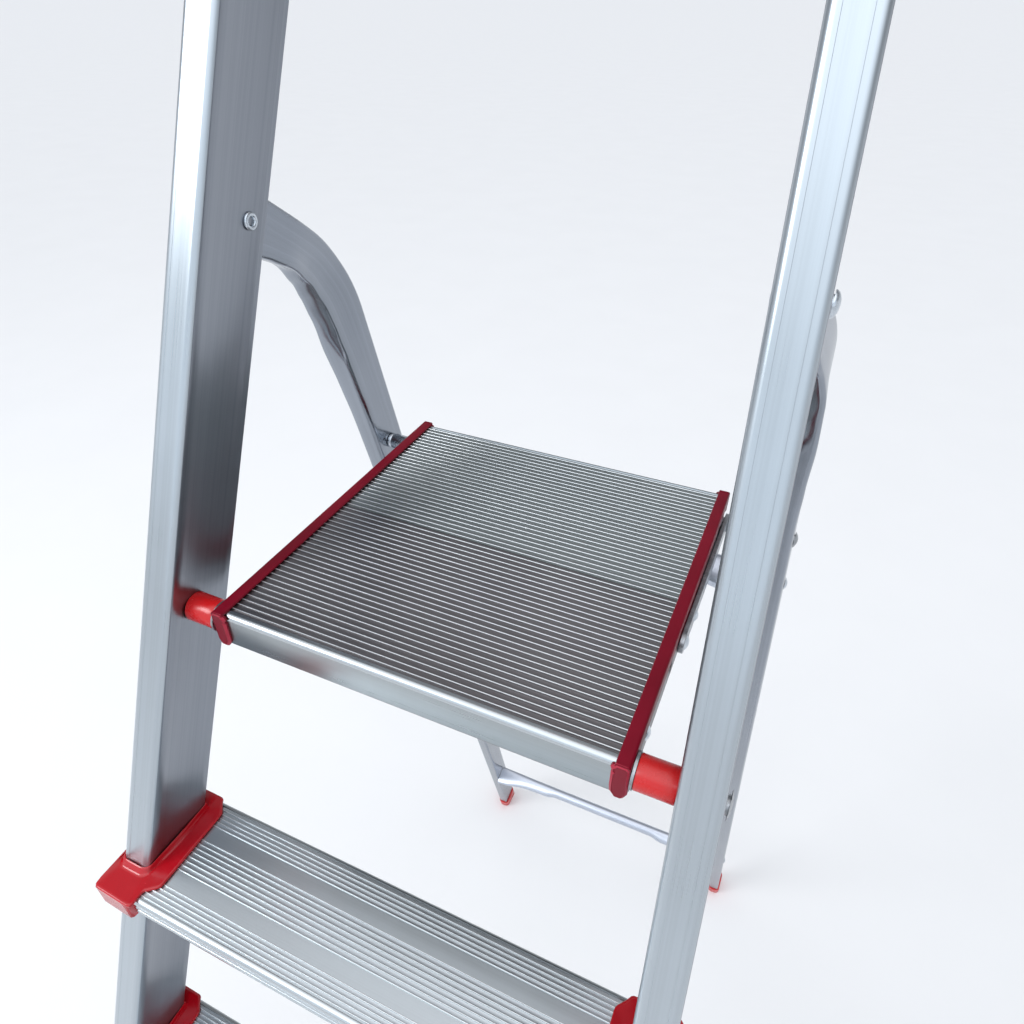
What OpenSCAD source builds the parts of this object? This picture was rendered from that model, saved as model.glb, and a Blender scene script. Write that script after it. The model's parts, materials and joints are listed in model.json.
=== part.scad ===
// Folding aluminium platform stepladder: six treads, a top platform and a folding rear frame.
// Frame: X across the ladder, Y from the climbing side to the back, Z up.
// The origin is the centre of the ladder's footprint, on the ground.

/* [Ladder] */
// Rise from one tread to the next, in mm
step_rise = 181; // [176:1:186]
// Lean of the front stiles from the vertical, in degrees
lean = 22.1; // [21.8:0.1:22.4]
// Slant of the rear legs from the vertical, in degrees
leg_slant = 19.3; // [19:0.1:19.6]
// How far each stile turns in towards the top, in degrees
splay = 3.28; // [3.2:0.02:3.36]
// Length of the stiles above the platform, along the slope
rail_length = 640; // [560:10:720]

/* [Stiles] */
// Clear gap between the stiles at the platform's height
stile_gap = 304; // [302:1:306]
// Width of a stile
stile_w = 22; // [22:0.5:23]
// Depth of a stile, front to back
stile_d = 48.5; // [48:0.5:50]
// Wall thickness of a stile
stile_wall = 1.5; // [1.3:0.1:1.6]
// Outer radius of a stile's two front corners
stile_round = 5; // [4:0.5:6]

/* [Platform] */
// Depth of the platform's tread surface
platform_d = 250; // [248:1:252]
// Length of the two platform planks, side to side
plank_w = 251.6; // [250:0.1:251.6]
// Height of the platform's front face
fascia_h = 24.2; // [23:0.1:25]
// Number of grip ridges on each plank
ridge_count = 28; // [20:1:28]

/* [Treads] */
// Depth of a tread
tread_d = 80; // [78:1:82]
// Height of a tread's front and back edges
tread_h = 17; // [16:0.5:19]
// How far a tread reaches out in front of the stiles
tread_nose = 17.2; // [15:0.2:18]

/* [Rear legs] */
// Width of a rear leg, side to side
leg_w = 17; // [16:0.5:17]
// Depth of a rear leg, front to back
leg_d = 35.6; // [34:0.2:36]
// Wall thickness of a rear leg
leg_wall = 1.5; // [1.2:0.1:1.8]
// Radius of the bend below the pivot, on the leg's centre line
bend_r = 120; // [115:1:125]
// How far the legs step outwards past the bend
leg_offset = 6.5; // [5:0.5:7]

/* [Hidden] */
$fn = 48;

step_count = 6;
platform_h = (step_count + 1) * step_rise;
fit = 0.05;
gap = 0.3;

// Pivots, as [Y from the platform's front edge, Z from the platform's top]
pivot_leg = [105.4, 197.2];
pivot_platform = [6.8, -9.9];
pivot_axle = [248.1, -23.1];
stile_face_y = -13;

// The ladder is shifted so that the middle of its footprint is at Y 0
front_foot_wall = 3;
rear_foot_wall = 2.5;
bend_angle = 36.7;
bend_start = 64.5;
leg_back = bend_start * sin(bend_angle) + bend_r * (1 - cos(bend_angle));
footprint_front = stile_face_y - platform_h * tan(lean) - front_foot_wall / cos(lean);
leg_line_y = pivot_leg[0] + leg_back / cos(leg_slant) + (platform_h + pivot_leg[1]) * tan(leg_slant);
footprint_back = leg_line_y + (leg_d / 2 + rear_foot_wall) / cos(leg_slant);
shift_y = -(footprint_front + footprint_back) / 2;

// The fold: the rear frame turns until its legs lie parallel to the stiles,
// and the platform turns up until it lies between them.
fold_angle = lean + leg_slant;
platform_fold = 90 - lean;
function turned(v, a) = [v[0] * cos(a) - v[1] * sin(a), v[0] * sin(a) + v[1] * cos(a)];
axle_folded = pivot_leg + turned(pivot_axle - pivot_leg, -fold_angle);
link_drop = -3.3;
link_u = pivot_platform - axle_folded;
link_v = pivot_platform - pivot_axle;
link_w = turned(link_u, -platform_fold) - link_v;
link_reach = ((link_v * link_v - link_u * link_u) / 2 - link_w[1] * link_drop) / link_w[0];
// Where the links are pinned to the platform, so that both ends of the fold close exactly
pivot_link = pivot_platform + [link_reach, link_drop];

// Places across the ladder, on the right-hand side
side_bar_x = 126;
side_bar_t = 1.7;
platform_half_w = 129;
link_x = platform_half_w + gap;
link_t = 3;
pivot_rod_r = 5;
axle_r = 4;
washer_t = 1.5;

alu = "silver";
steel = "lightgrey";
red = "red";
crimson = "crimson";

// Places a shape from the platform's frame in the ladder's frame
module placed() {
    translate([0, shift_y, platform_h]) children();
}

// Stands along the slope of the stiles: Y is the depth behind their front faces
module on_slope() {
    placed() translate([0, stile_face_y, 0]) rotate([-lean, 0, 0]) children();
}

// Stands along the right-hand stile: X 0 is its inner face
module along_stile() {
    on_slope() translate([stile_gap / 2, 0, 0]) rotate([0, -splay, 0]) children();
}

// Stands along the right-hand rear leg, with its origin at the leg's pivot
module along_leg() {
    placed() translate([leg_pivot_x, pivot_leg[0], pivot_leg[1]])
        rotate([leg_slant, 0, 0]) rotate([0, -splay, 0]) children();
}
leg_pivot_up = (pivot_leg[0] - stile_face_y) * sin(lean) + pivot_leg[1] * cos(lean);
leg_pivot_x = stile_gap / 2 + stile_w / 2 - leg_pivot_up * tan(splay);

// A round bar along X at a pivot, from x0 to x1
module bar_x(pivot, r, x0, x1) {
    placed() translate([x0, pivot[0], pivot[1]]) rotate([0, 90, 0]) cylinder(r = r, h = x1 - x0);
}

// Cuts a bore through everything on the right-hand side
bore_from = 90;
bore_to = 280;

module bore_x(pivot, r) {
    bar_x(pivot, r, bore_from, bore_to);
}

// A domed rivet head on a face at x, facing +X
module dome_x(pivot, x, r, h) {
    placed() translate([x, pivot[0], pivot[1]]) rotate([0, 90, 0]) rotate_extrude() intersection() {
        translate([0, h - (r * r + h * h) / (2 * h)]) circle(r = (r * r + h * h) / (2 * h), $fn = 96);
        square([r, h]);
    }
}

module mirrored() {
    mirror([1, 0, 0]) children();
}

module both_sides() {
    children();
    mirrored() children();
}

// A profile drawn in Y and Z and pulled out along X, centred on the ladder
module across(length) {
    translate([-length / 2, 0, 0]) rotate([90, 0, 90]) linear_extrude(length) children();
}

// Everything below a height above the ground, to cut an end level
cut_size = 3000;

module below(z) {
    translate([-cut_size / 2, -cut_size / 2, z - cut_size]) cube(cut_size);
}

// ---- Front frame ----

// A rectangle whose two front corners are round
module round_front(w, d, r) {
    translate([r, 0]) square([w - 2 * r, d]);
    translate([0, r]) square([w, d - r]);
    translate([r, r]) circle(r = r);
    translate([w - r, r]) circle(r = r);
}

sole_t = 8;
stile_foot = platform_h / cos(lean) + 60;

module stile_solid(extra, top) {
    along_stile() translate([-extra, -extra, -stile_foot])
        linear_extrude(stile_foot + top)
            round_front(stile_w + 2 * extra, stile_d + 2 * extra, stile_round + extra);
}

module right_stile_shape() {
    difference() {
        along_stile() translate([0, 0, -stile_foot]) linear_extrude(stile_foot + rail_length) difference() {
            round_front(stile_w, stile_d, stile_round);
            translate([stile_wall, stile_wall])
                round_front(stile_w - 2 * stile_wall, stile_d, stile_round - stile_wall);
        }
        below(sole_t);
        bore_x(pivot_leg, axle_r + fit);
        bore_x(pivot_platform, pivot_rod_r + fit);
        step_screw_bores();
    }
}

module left_stile() {
    color(alu) mirrored() right_stile_shape();
}

module right_stile() {
    color(alu) right_stile_shape();
}

// Height and place of tread n, counted down from the platform
function tread_z(n) = -n * step_rise;
function stile_front(z) = stile_face_y + z * tan(lean);
function tread_front(z) = stile_front(z) - tread_nose;
function stile_inner(y, z) =
    stile_gap / 2 - ((y - stile_face_y) * sin(lean) + z * cos(lean)) * tan(splay);

tread_wall = 1.6;
tread_ports = [tread_d / 2 - 14, tread_d / 2 + 14];
tread_port_z = -9;
tread_ridge_h = 0.8;
tread_ridge_w = 1.1;
tread_ridge_pitch = 2.9;

// A row of grip ridges on top of a sheet
module ridges(first, count, pitch, w, h) {
    for (i = [0:count - 1]) translate([first + i * pitch, -h - 0.4]) square([w, h + 0.4]);
}

// Where the middle group of ridges starts
ridge_middle = tread_d / 2 - 3.5 * tread_ridge_pitch - 0.5;

// Tread profile: a ridged top sheet with a box along each edge and two screw ports
module tread_profile() {
    nose_r = 2.4;
    box_w = 14;
    difference() {
        union() {
            translate([nose_r, -nose_r]) circle(r = nose_r);
            translate([nose_r, -nose_r]) square([tread_d - 2 * nose_r, nose_r - tread_ridge_h]);
            translate([tread_d - nose_r, -nose_r]) circle(r = nose_r);
            for (y = [0, tread_d - tread_wall])
                translate([y, -tread_h]) square([tread_wall, tread_h - nose_r]);
            for (y = [0, tread_d - box_w]) translate([y, -tread_h]) square([box_w, tread_wall]);
            for (y = [box_w - tread_wall, tread_d - box_w])
                translate([y, -tread_h]) square([tread_wall, tread_h - nose_r]);
            for (y = tread_ports) port_web(y, tread_port_z);
            ridges(5.5, 5, tread_ridge_pitch, tread_ridge_w, tread_ridge_h);
            ridges(ridge_middle, 8, tread_ridge_pitch, tread_ridge_w, tread_ridge_h);
            ridges(tread_d - 19, 5, tread_ridge_pitch, tread_ridge_w, tread_ridge_h);
        }
        for (y = tread_ports) port_bore(y, tread_port_z);
    }
}

tread_tuck = 3;

// Step 1 is the lowest, so it is the sixth tread down from the platform
module tread(step) {
    z = tread_z(step_count + 1 - step);
    back = tread_front(z) + tread_d;
    half = stile_inner(back, z) - tread_tuck;
    color(alu) placed() translate([0, tread_front(z), z]) across(2 * half) tread_profile();
}

module step_1() { tread(1); }
module step_2() { tread(2); }
module step_3() { tread(3); }
module step_4() { tread(4); }
module step_5() { tread(5); }
module step_6() { tread(6); }

collar_top = 1.6;
collar_h = tread_h + 3.5;
collar_out = 4;

// Outline of a collar seen from above, with X measured from the stile's inner face
module collar_outline(flanged) {
    web_t = 2.6;
    flange = flanged ? 15.4 : web_t;
    corner = flanged ? 8.4 : web_t;
    hook = flanged ? 7.8 : web_t;
    back = tread_d + 2;
    polygon([
        [stile_w + collar_out, -3], [stile_w + collar_out, back - 5],
        [stile_w + collar_out - 5, back], [-corner, back], [-corner, back - 2], [-flange, back - 10],
        [-flange, 14], [-hook + 3, 5.7], [-hook, 0], [-hook, -4]
    ]);
}

module collar(n) {
    z = tread_z(n);
    y = tread_front(z);
    difference() {
        placed() translate([stile_inner(y + tread_d / 2, z), y, z]) union() {
            translate([0, 0, collar_top - collar_h]) linear_extrude(collar_h) collar_outline(false);
            translate([0, 0, fit]) linear_extrude(collar_top - fit) collar_outline(true);
        }
        stile_solid(fit, rail_length);
        step_screw_bores();
    }
}

module collars() {
    for (n = [1:step_count]) collar(n);
}

module left_step_collars() {
    color(red) mirrored() collars();
}

module right_step_collars() {
    color(red) collars();
}

// Two screws at each end of each tread, put in from inside the stile
screw_head_r = 4.5;
screw_reach = 15;

module step_screw_bores() {
    for (n = [1:step_count]) for (port = tread_ports) {
        place = [tread_front(tread_z(n)) + port, tread_z(n) + tread_port_z];
        x = stile_inner(place[0], place[1]);
        bar_x(place, port_r + fit, x - 6, x + stile_wall + 3);
    }
}

module step_screw_row() {
    for (n = [1:step_count]) for (port = tread_ports) {
        place = [tread_front(tread_z(n)) + port, tread_z(n) + tread_port_z];
        x = stile_inner(place[0], place[1]) + stile_wall + 0.4;
        bar_x(place, port_r, x - stile_wall - screw_reach, x + 0.2);
        dome_x(place, x, screw_head_r, 2.8);
    }
}

module left_step_screws() {
    color(steel) mirrored() step_screw_row();
}

module right_step_screws() {
    color(steel) step_screw_row();
}

front_foot_h = 48;

module front_foot() {
    difference() {
        stile_solid(front_foot_wall, front_foot_h - platform_h / cos(lean));
        difference() {
            stile_solid(fit, rail_length);
            below(sole_t);
        }
        below(0);
    }
}

module left_front_foot() {
    color(red) mirrored() front_foot();
}

module right_front_foot() {
    color(red) front_foot();
}

// Moulded grip that joins the tops of the stiles
sleeve_h = 46;
sleeve_wall = 3.5;
grip_r = 14;
grip_up = rail_length - 20;
grip_back = stile_d / 2;

module top_sleeve() {
    along_stile() translate([-sleeve_wall, -sleeve_wall, rail_length - sleeve_h + 8])
        linear_extrude(sleeve_h)
            round_front(stile_w + 2 * sleeve_wall, stile_d + 2 * sleeve_wall, stile_round + sleeve_wall);
}

module top_rail() {
    half = stile_gap / 2 - grip_up * tan(splay);
    color(red) difference() {
        union() {
            both_sides() top_sleeve();
            on_slope() translate([-half, grip_back, grip_up]) rotate([0, 90, 0])
                cylinder(r = grip_r, h = 2 * half);
            on_slope() translate([-half, grip_back - grip_r, grip_up - grip_r / 2])
                cube([2 * half, 2 * grip_r, grip_r]);
        }
        both_sides() stile_solid(fit, rail_length);
    }
}

module top_rail_screws() {
    color(steel) both_sides() for (d = [13, 35])
        along_stile() translate([stile_w + sleeve_wall + fit, d, rail_length - 20])
            rotate([0, 90, 0]) cylinder(r = 4.5, h = 2);
}

// ---- Platform hinge and leg pivots, held by the stiles ----

washer_x = link_x;
spacer_x = washer_x + washer_t + fit;
stile_x_at_hinge = stile_inner(pivot_platform[0], pivot_platform[1]);

rod_head_r = 7.5;
rod_head_h = 1.4;

module platform_pivot_rod() {
    outer = stile_x_at_hinge + stile_w + 1;
    color(steel) {
        bar_x(pivot_platform, pivot_rod_r, -outer - 0.6, outer + 0.6);
        both_sides() dome_x(pivot_platform, outer + 0.6, rod_head_r, rod_head_h);
    }
}

module platform_spacer() {
    difference() {
        bar_x(pivot_platform, 9.4, spacer_x, stile_x_at_hinge - 0.8);
        bore_x(pivot_platform, pivot_rod_r + fit);
    }
}

module left_platform_spacer() {
    color(red) mirrored() platform_spacer();
}

module right_platform_spacer() {
    color(red) platform_spacer();
}

module platform_pivot_washers() {
    color(steel) both_sides() difference() {
        bar_x(pivot_platform, 10, washer_x, washer_x + washer_t);
        bore_x(pivot_platform, pivot_rod_r + fit);
    }
}

rivet_head_r = 6;
rivet_head_h = 3;

// Tubular rivets: a domed head outside the stile and a rolled, hollow end inside it
module leg_pivot_rivets() {
    inner = stile_inner(pivot_leg[0], pivot_leg[1]) - 0.5;
    outer = inner + stile_w + 1;
    color(steel) both_sides() difference() {
        union() {
            bar_x(pivot_leg, axle_r, inner - 0.4, outer + 0.4);
            bar_x(pivot_leg, 4.6, inner - 2.2, inner - 0.3);
            dome_x(pivot_leg, outer + 0.2, rivet_head_r, rivet_head_h);
        }
        bar_x(pivot_leg, 2.2, inner - 3, inner + 1.5);
    }
}

// ---- Platform ----

plank_wall = 1.5;
plank_ridge_h = 1;
edge_r = 1.5;
seam = 0.4;
plank_d = (platform_d - seam) / 2;
ridge_margin = 2.4;
ridge_pitch = (plank_d - ridge_margin + 0.4) / ridge_count;
ridge_w = 1.6;
web_h = 14;
rear_edge_h = 18.8;
rail_rivet_z = -13;
rail_rivets = [32.7, 82, 162, 222];
flush_rivets = [82, 162, 222];
port_r = 2;
port_wall = 1.8;
flush_r = 3.6;

module plank_sheet() {
    translate([0, -plank_ridge_h - plank_wall]) square([plank_d, plank_wall]);
}

module web(y, h) {
    translate([y, -h]) square([plank_wall, h - plank_ridge_h]);
}

// A web that ends in a round port, which takes a rivet or a screw at each end of the extrusion
module port_web(y, z) {
    translate([y - plank_wall / 2, z]) square([plank_wall, -z - plank_ridge_h]);
    translate([y, z]) circle(r = port_r + port_wall);
}

module port_bore(y, z) {
    translate([y, z]) circle(r = port_r + fit);
}

module front_plank_profile() {
    beam_w = 15;
    difference() {
        union() {
            plank_sheet();
            ridges(ridge_margin, ridge_count, ridge_pitch, ridge_w, plank_ridge_h);
            translate([edge_r, -edge_r]) circle(r = edge_r);
            translate([0, -fascia_h]) square([plank_wall, fascia_h - edge_r]);
            translate([0, -fascia_h]) square([beam_w, plank_wall]);
            web(beam_w - plank_wall, fascia_h);
            for (y = [rail_rivets[0], rail_rivets[1]]) port_web(y, rail_rivet_z);
            web(plank_d - plank_wall, web_h);
        }
        for (y = [rail_rivets[0], rail_rivets[1]]) port_bore(y, rail_rivet_z);
    }
}

module rear_plank_profile() {
    start = plank_d + seam;
    difference() {
        union() {
            plank_sheet();
            ridges(0.2, ridge_count, ridge_pitch, ridge_w, plank_ridge_h);
            translate([plank_d - edge_r, -edge_r]) circle(r = edge_r);
            web(0, web_h);
            for (y = [rail_rivets[2], rail_rivets[3]]) port_web(y - start, rail_rivet_z);
            translate([plank_d - plank_wall, -rear_edge_h]) square([plank_wall, rear_edge_h - edge_r]);
            translate([plank_d - 10, -rear_edge_h]) square([10, plank_wall]);
        }
        for (y = [rail_rivets[2], rail_rivets[3]]) port_bore(y - start, rail_rivet_z);
    }
}

module front_plank() {
    color(alu) placed() across(plank_w) front_plank_profile();
}

module rear_plank() {
    color(alu) placed() translate([0, plank_d + seam, 0]) across(plank_w) rear_plank_profile();
}

edging_in = 121;
edging_t = 1.2;
edging_end = 2.6;
edging_lip = 1.6;
edging_skirt = 9;

// Plastic edging over the ends of both planks, with a cap at the front and the back
module edging() {
    difference() {
        placed() union() {
            translate([edging_in, -edging_end, fit])
                cube([platform_half_w - edging_in, platform_d + 2 * edging_end, edging_lip - fit]);
            translate([platform_half_w - edging_t, -edging_end, -edging_skirt])
                cube([edging_t, platform_d + 2 * edging_end, edging_skirt + edging_lip]);
            translate([edging_in, -edging_end, -fascia_h - 0.4])
                cube([platform_half_w - edging_in, edging_end - 0.1, fascia_h + 0.4 + edging_lip]);
            translate([edging_in, platform_d + 0.1, -rear_edge_h + 0.4])
                cube([platform_half_w - edging_in, edging_end - 0.1, rear_edge_h - 0.4 + edging_lip]);
        }
        bore_x(pivot_platform, pivot_rod_r + fit);
    }
}

module left_edging() {
    color(crimson) mirrored() edging();
}

module right_edging() {
    color(crimson) edging();
}

side_bar_front = 1.8;
side_bar_back = 238;
side_bar_top = -2.8;
side_bar_step = -9.4;
side_bar_bottom = -22.4;
rivet_recess = 1.2;

// Flat bar with a thinner upper edge that tucks in behind the edging
module side_bar() {
    length = side_bar_back - side_bar_front;
    full_t = platform_half_w - side_bar_x;
    difference() {
        placed() translate([side_bar_x, side_bar_front, 0]) union() {
            translate([0, 0, side_bar_bottom]) cube([side_bar_t, length, side_bar_top - side_bar_bottom]);
            translate([0, 0, side_bar_bottom]) cube([full_t, length, side_bar_step - side_bar_bottom]);
        }
        bore_x(pivot_platform, pivot_rod_r + fit);
        for (y = rail_rivets) bore_x([y, rail_rivet_z], port_r + fit);
        for (y = flush_rivets)
            bar_x([y, rail_rivet_z], flush_r + fit, platform_half_w - rivet_recess, bore_to);
    }
}

module left_side_bar() {
    color(steel) mirrored() side_bar();
}

module right_side_bar() {
    color(steel) side_bar();
}

// The front rivet has a domed head; the others are set flush, because the link swings past them
module side_bar_rivets() {
    color(steel) both_sides() {
        for (y = rail_rivets) bar_x([y, rail_rivet_z], port_r, plank_w / 2 - 12, platform_half_w - 0.5);
        for (y = flush_rivets)
            bar_x([y, rail_rivet_z], flush_r, platform_half_w - rivet_recess + fit, platform_half_w);
        bar_x([rail_rivets[0], rail_rivet_z], port_r, platform_half_w - 2, platform_half_w + 0.3);
        dome_x([rail_rivets[0], rail_rivet_z], platform_half_w + fit, flush_r + 0.6, 1.7);
    }
}

// ---- Rear frame ----

leg_corner = 4;
leg_top = 15;
rear_sole_t = 8;
leg_drop = (platform_h + pivot_leg[1] + leg_back * sin(leg_slant)) / (cos(leg_slant) * cos(splay));
leg_length = leg_drop - 14;
bend_length = bend_r * bend_angle * PI / 180;

// The step outwards starts past the stile and ends within the bend
function ease(t) = t <= 0 ? 0 : t >= 1 ? 1 : t * t * (3 - 2 * t);
function leg_step(s) = leg_offset * ease((s - 38) / 66);
function leg_turn(s) =
    s <= bend_start ? bend_angle : max(0, bend_angle * (1 - (s - bend_start) / bend_length));
function leg_point(s) =
    let (a = leg_turn(s))
    s <= bend_start ? [leg_step(s), s * sin(a), -s * cos(a)] :
    s <= bend_start + bend_length ?
        [leg_step(s), leg_back - bend_r * (1 - cos(a)),
         -bend_start * cos(bend_angle) - bend_r * (sin(bend_angle) - sin(a))] :
        [leg_offset, leg_back,
         -bend_start * cos(bend_angle) - bend_r * sin(bend_angle) - (s - bend_start - bend_length)];

// Corner points of a leg's section, in turn around it
function section(w, d, r) = [
    for (c = [[1, 1, 0], [-1, 1, 90], [-1, -1, 180], [1, -1, 270]]) for (a = [0, 45, 90])
        [c[0] * (w / 2 - r) + r * cos(c[2] + a), c[1] * (d / 2 - r) + r * sin(c[2] + a)]
];

function leg_stations(first, last) = concat(
    [first], [for (s = [38:9:bend_start]) s],
    [for (i = [0:8]) bend_start + bend_length * i / 8], [last]
);

// A tube swept along the leg's centre line
module leg_sweep(w, d, r, first, last) {
    ring = section(w, d, r);
    n = len(ring);
    stations = leg_stations(first, last);
    rings = len(stations);
    points = [for (s = stations) let (p = leg_point(s), a = leg_turn(s)) for (q = ring)
        [p[0] + q[0], p[1] + q[1] * cos(a), p[2] + q[1] * sin(a)]];
    sides = [for (k = [0:rings - 2]) for (i = [0:n - 1]) let (j = (i + 1) % n) each
        [[k * n + i, k * n + j, (k + 1) * n + j], [k * n + i, (k + 1) * n + j, (k + 1) * n + i]]];
    start_cap = [for (i = [n - 1:-1:0]) i];
    end_cap = [for (i = [0:n - 1]) (rings - 1) * n + i];
    polyhedron(points = points, faces = concat([start_cap], sides, [end_cap]), convexity = 4);
}

leg_end = leg_length - (-leg_point(bend_start + bend_length)[2]) + bend_start + bend_length;

module rear_leg() {
    difference() {
        along_leg() difference() {
            leg_sweep(leg_w, leg_d, leg_corner, -leg_top, leg_end);
            leg_sweep(
                leg_w - 2 * leg_wall, leg_d - 2 * leg_wall, leg_corner - leg_wall,
                -leg_top - 5, leg_end + 5
            );
        }
        bore_x(pivot_leg, axle_r + fit);
        bore_x(pivot_axle, axle_r + fit);
    }
}

module left_rear_leg() {
    color(alu) mirrored() rear_leg();
}

module right_rear_leg() {
    color(alu) rear_leg();
}

rear_foot_h = 34;

module leg_block(extra, top, bottom) {
    along_leg() translate([leg_offset - leg_w / 2 - extra, leg_back - leg_d / 2 - extra, bottom])
        linear_extrude(top - bottom) round_box(leg_w + 2 * extra, leg_d + 2 * extra, leg_corner + extra);
}

module round_box(w, d, r) {
    translate([r, 0]) square([w - 2 * r, d]);
    translate([0, r]) square([w, d - 2 * r]);
    for (x = [r, w - r]) for (y = [r, d - r]) translate([x, y]) circle(r = r);
}

module rear_foot() {
    difference() {
        leg_block(rear_foot_wall, rear_foot_h - leg_drop, -leg_drop - 40);
        leg_block(fit, rear_foot_h - leg_drop + 5, -leg_length - fit);
        below(0);
    }
}

module left_rear_foot() {
    color(red) mirrored() rear_foot();
}

module right_rear_foot() {
    color(red) rear_foot();
}

// Where the middle of a leg is, at a depth below the platform
function leg_y(z) = pivot_leg[0] + leg_back / cos(leg_slant) + (pivot_leg[1] - z) * tan(leg_slant);
function leg_below(z) = (pivot_leg[1] - z + leg_back * sin(leg_slant)) / cos(leg_slant);
function leg_inner(z) = leg_pivot_x + leg_offset - leg_w / 2 + leg_below(z) * tan(splay);

crossbar_r = 9.5;
crossbar_wall = 1.5;
flare_l = 125;
flare_t = 12;
flare_front = 24;
flare_back = 10;
upper_bar_z = -82;
lower_bar_z = -1041;

// A tube whose ends are pressed flat, and wider to the front, where they meet the legs
module crossbar(z) {
    half = leg_inner(z) - 1;
    body = half - flare_l;
    bore = body - 4;
    placed() translate([0, leg_y(z), z]) rotate([leg_slant, 0, 0]) {
        difference() {
            translate([-body, 0, 0]) rotate([0, 90, 0]) cylinder(r = crossbar_r, h = 2 * body);
            translate([-bore, 0, 0]) rotate([0, 90, 0])
                cylinder(r = crossbar_r - crossbar_wall, h = 2 * bore);
        }
        both_sides() hull() {
            translate([body - 2, 0, 0]) rotate([0, 90, 0])
                cylinder(r = crossbar_r - 0.05, h = 2, $fn = 32);
            translate([half - 8, -flare_front, -flare_t / 2])
                cube([8, flare_front + flare_back, flare_t]);
        }
    }
}

module upper_crossbar() {
    color(alu) crossbar(upper_bar_z);
}

module lower_crossbar() {
    color(alu) crossbar(lower_bar_z);
}

module crossbar_rivets() {
    color(steel) both_sides() for (z = [upper_bar_z, lower_bar_z])
        dome_x([leg_y(z), z], leg_inner(z) + leg_w + 0.4, 5, 2);
}

axle_leg_x = leg_inner(pivot_axle[1]);

module rear_axle() {
    outer = axle_leg_x + leg_w + 0.5;
    color(steel) {
        bar_x(pivot_axle, axle_r, -outer, outer);
        both_sides() dome_x(pivot_axle, outer, rivet_head_r, rivet_head_h - 0.5);
    }
}

module axle_spacer() {
    difference() {
        bar_x(pivot_axle, 6.5, link_x + link_t + gap, axle_leg_x - 0.6);
        bore_x(pivot_axle, axle_r + fit);
    }
}

module left_axle_spacer() {
    color(steel) mirrored() axle_spacer();
}

module right_axle_spacer() {
    color(steel) axle_spacer();
}

// ---- Folding links between the platform and the rear axle ----

link_half_w = 7;
link_pin_r = 3;
link_stop_at = 27;

module link_arm() {
    reach = pivot_axle - pivot_link;
    angle = atan2(reach[1], reach[0]);
    difference() {
        union() {
            bar_x(pivot_link, link_half_w, link_x, link_x + link_t);
            bar_x(pivot_axle, link_half_w, link_x, link_x + link_t);
            placed() translate([link_x, pivot_link[0], pivot_link[1]]) rotate([angle, 0, 0])
                translate([0, 0, -link_half_w]) cube([link_t, norm(reach), 2 * link_half_w]);
        }
        bore_x(pivot_link, link_pin_r + fit);
        bore_x(pivot_axle, axle_r + fit);
    }
}

module left_link() {
    color(steel) mirrored() link_arm();
}

module right_link() {
    color(steel) link_arm();
}

// The rivet runs in a clear hole in the side bar: this is where the linkage is opened
module link_pivot_rivets() {
    color(steel) both_sides() {
        bar_x(pivot_link, link_pin_r, link_x, link_x + link_t + 0.1);
        dome_x(pivot_link, link_x + link_t + 0.02, 5, 2);
    }
}

module link_stop_rivets() {
    along = (pivot_axle - pivot_link) / norm(pivot_axle - pivot_link);
    color(steel) both_sides()
        dome_x(pivot_link + link_stop_at * along, link_x + link_t + 0.02, 4, 1.8);
}

left_stile();
right_stile();
step_1();
step_2();
step_3();
step_4();
step_5();
step_6();
left_step_collars();
right_step_collars();
left_step_screws();
right_step_screws();
left_front_foot();
right_front_foot();
top_rail();
top_rail_screws();
platform_pivot_rod();
left_platform_spacer();
right_platform_spacer();
platform_pivot_washers();
leg_pivot_rivets();
front_plank();
rear_plank();
left_edging();
right_edging();
left_side_bar();
right_side_bar();
side_bar_rivets();
left_rear_leg();
right_rear_leg();
left_rear_foot();
right_rear_foot();
upper_crossbar();
lower_crossbar();
crossbar_rivets();
rear_axle();
left_axle_spacer();
right_axle_spacer();
left_link();
right_link();
link_pivot_rivets();
link_stop_rivets();
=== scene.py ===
"""Looks of the folding platform stepladder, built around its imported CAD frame."""

import json
import math

import bmesh
import bpy
from mathutils import Matrix, Vector

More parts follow.
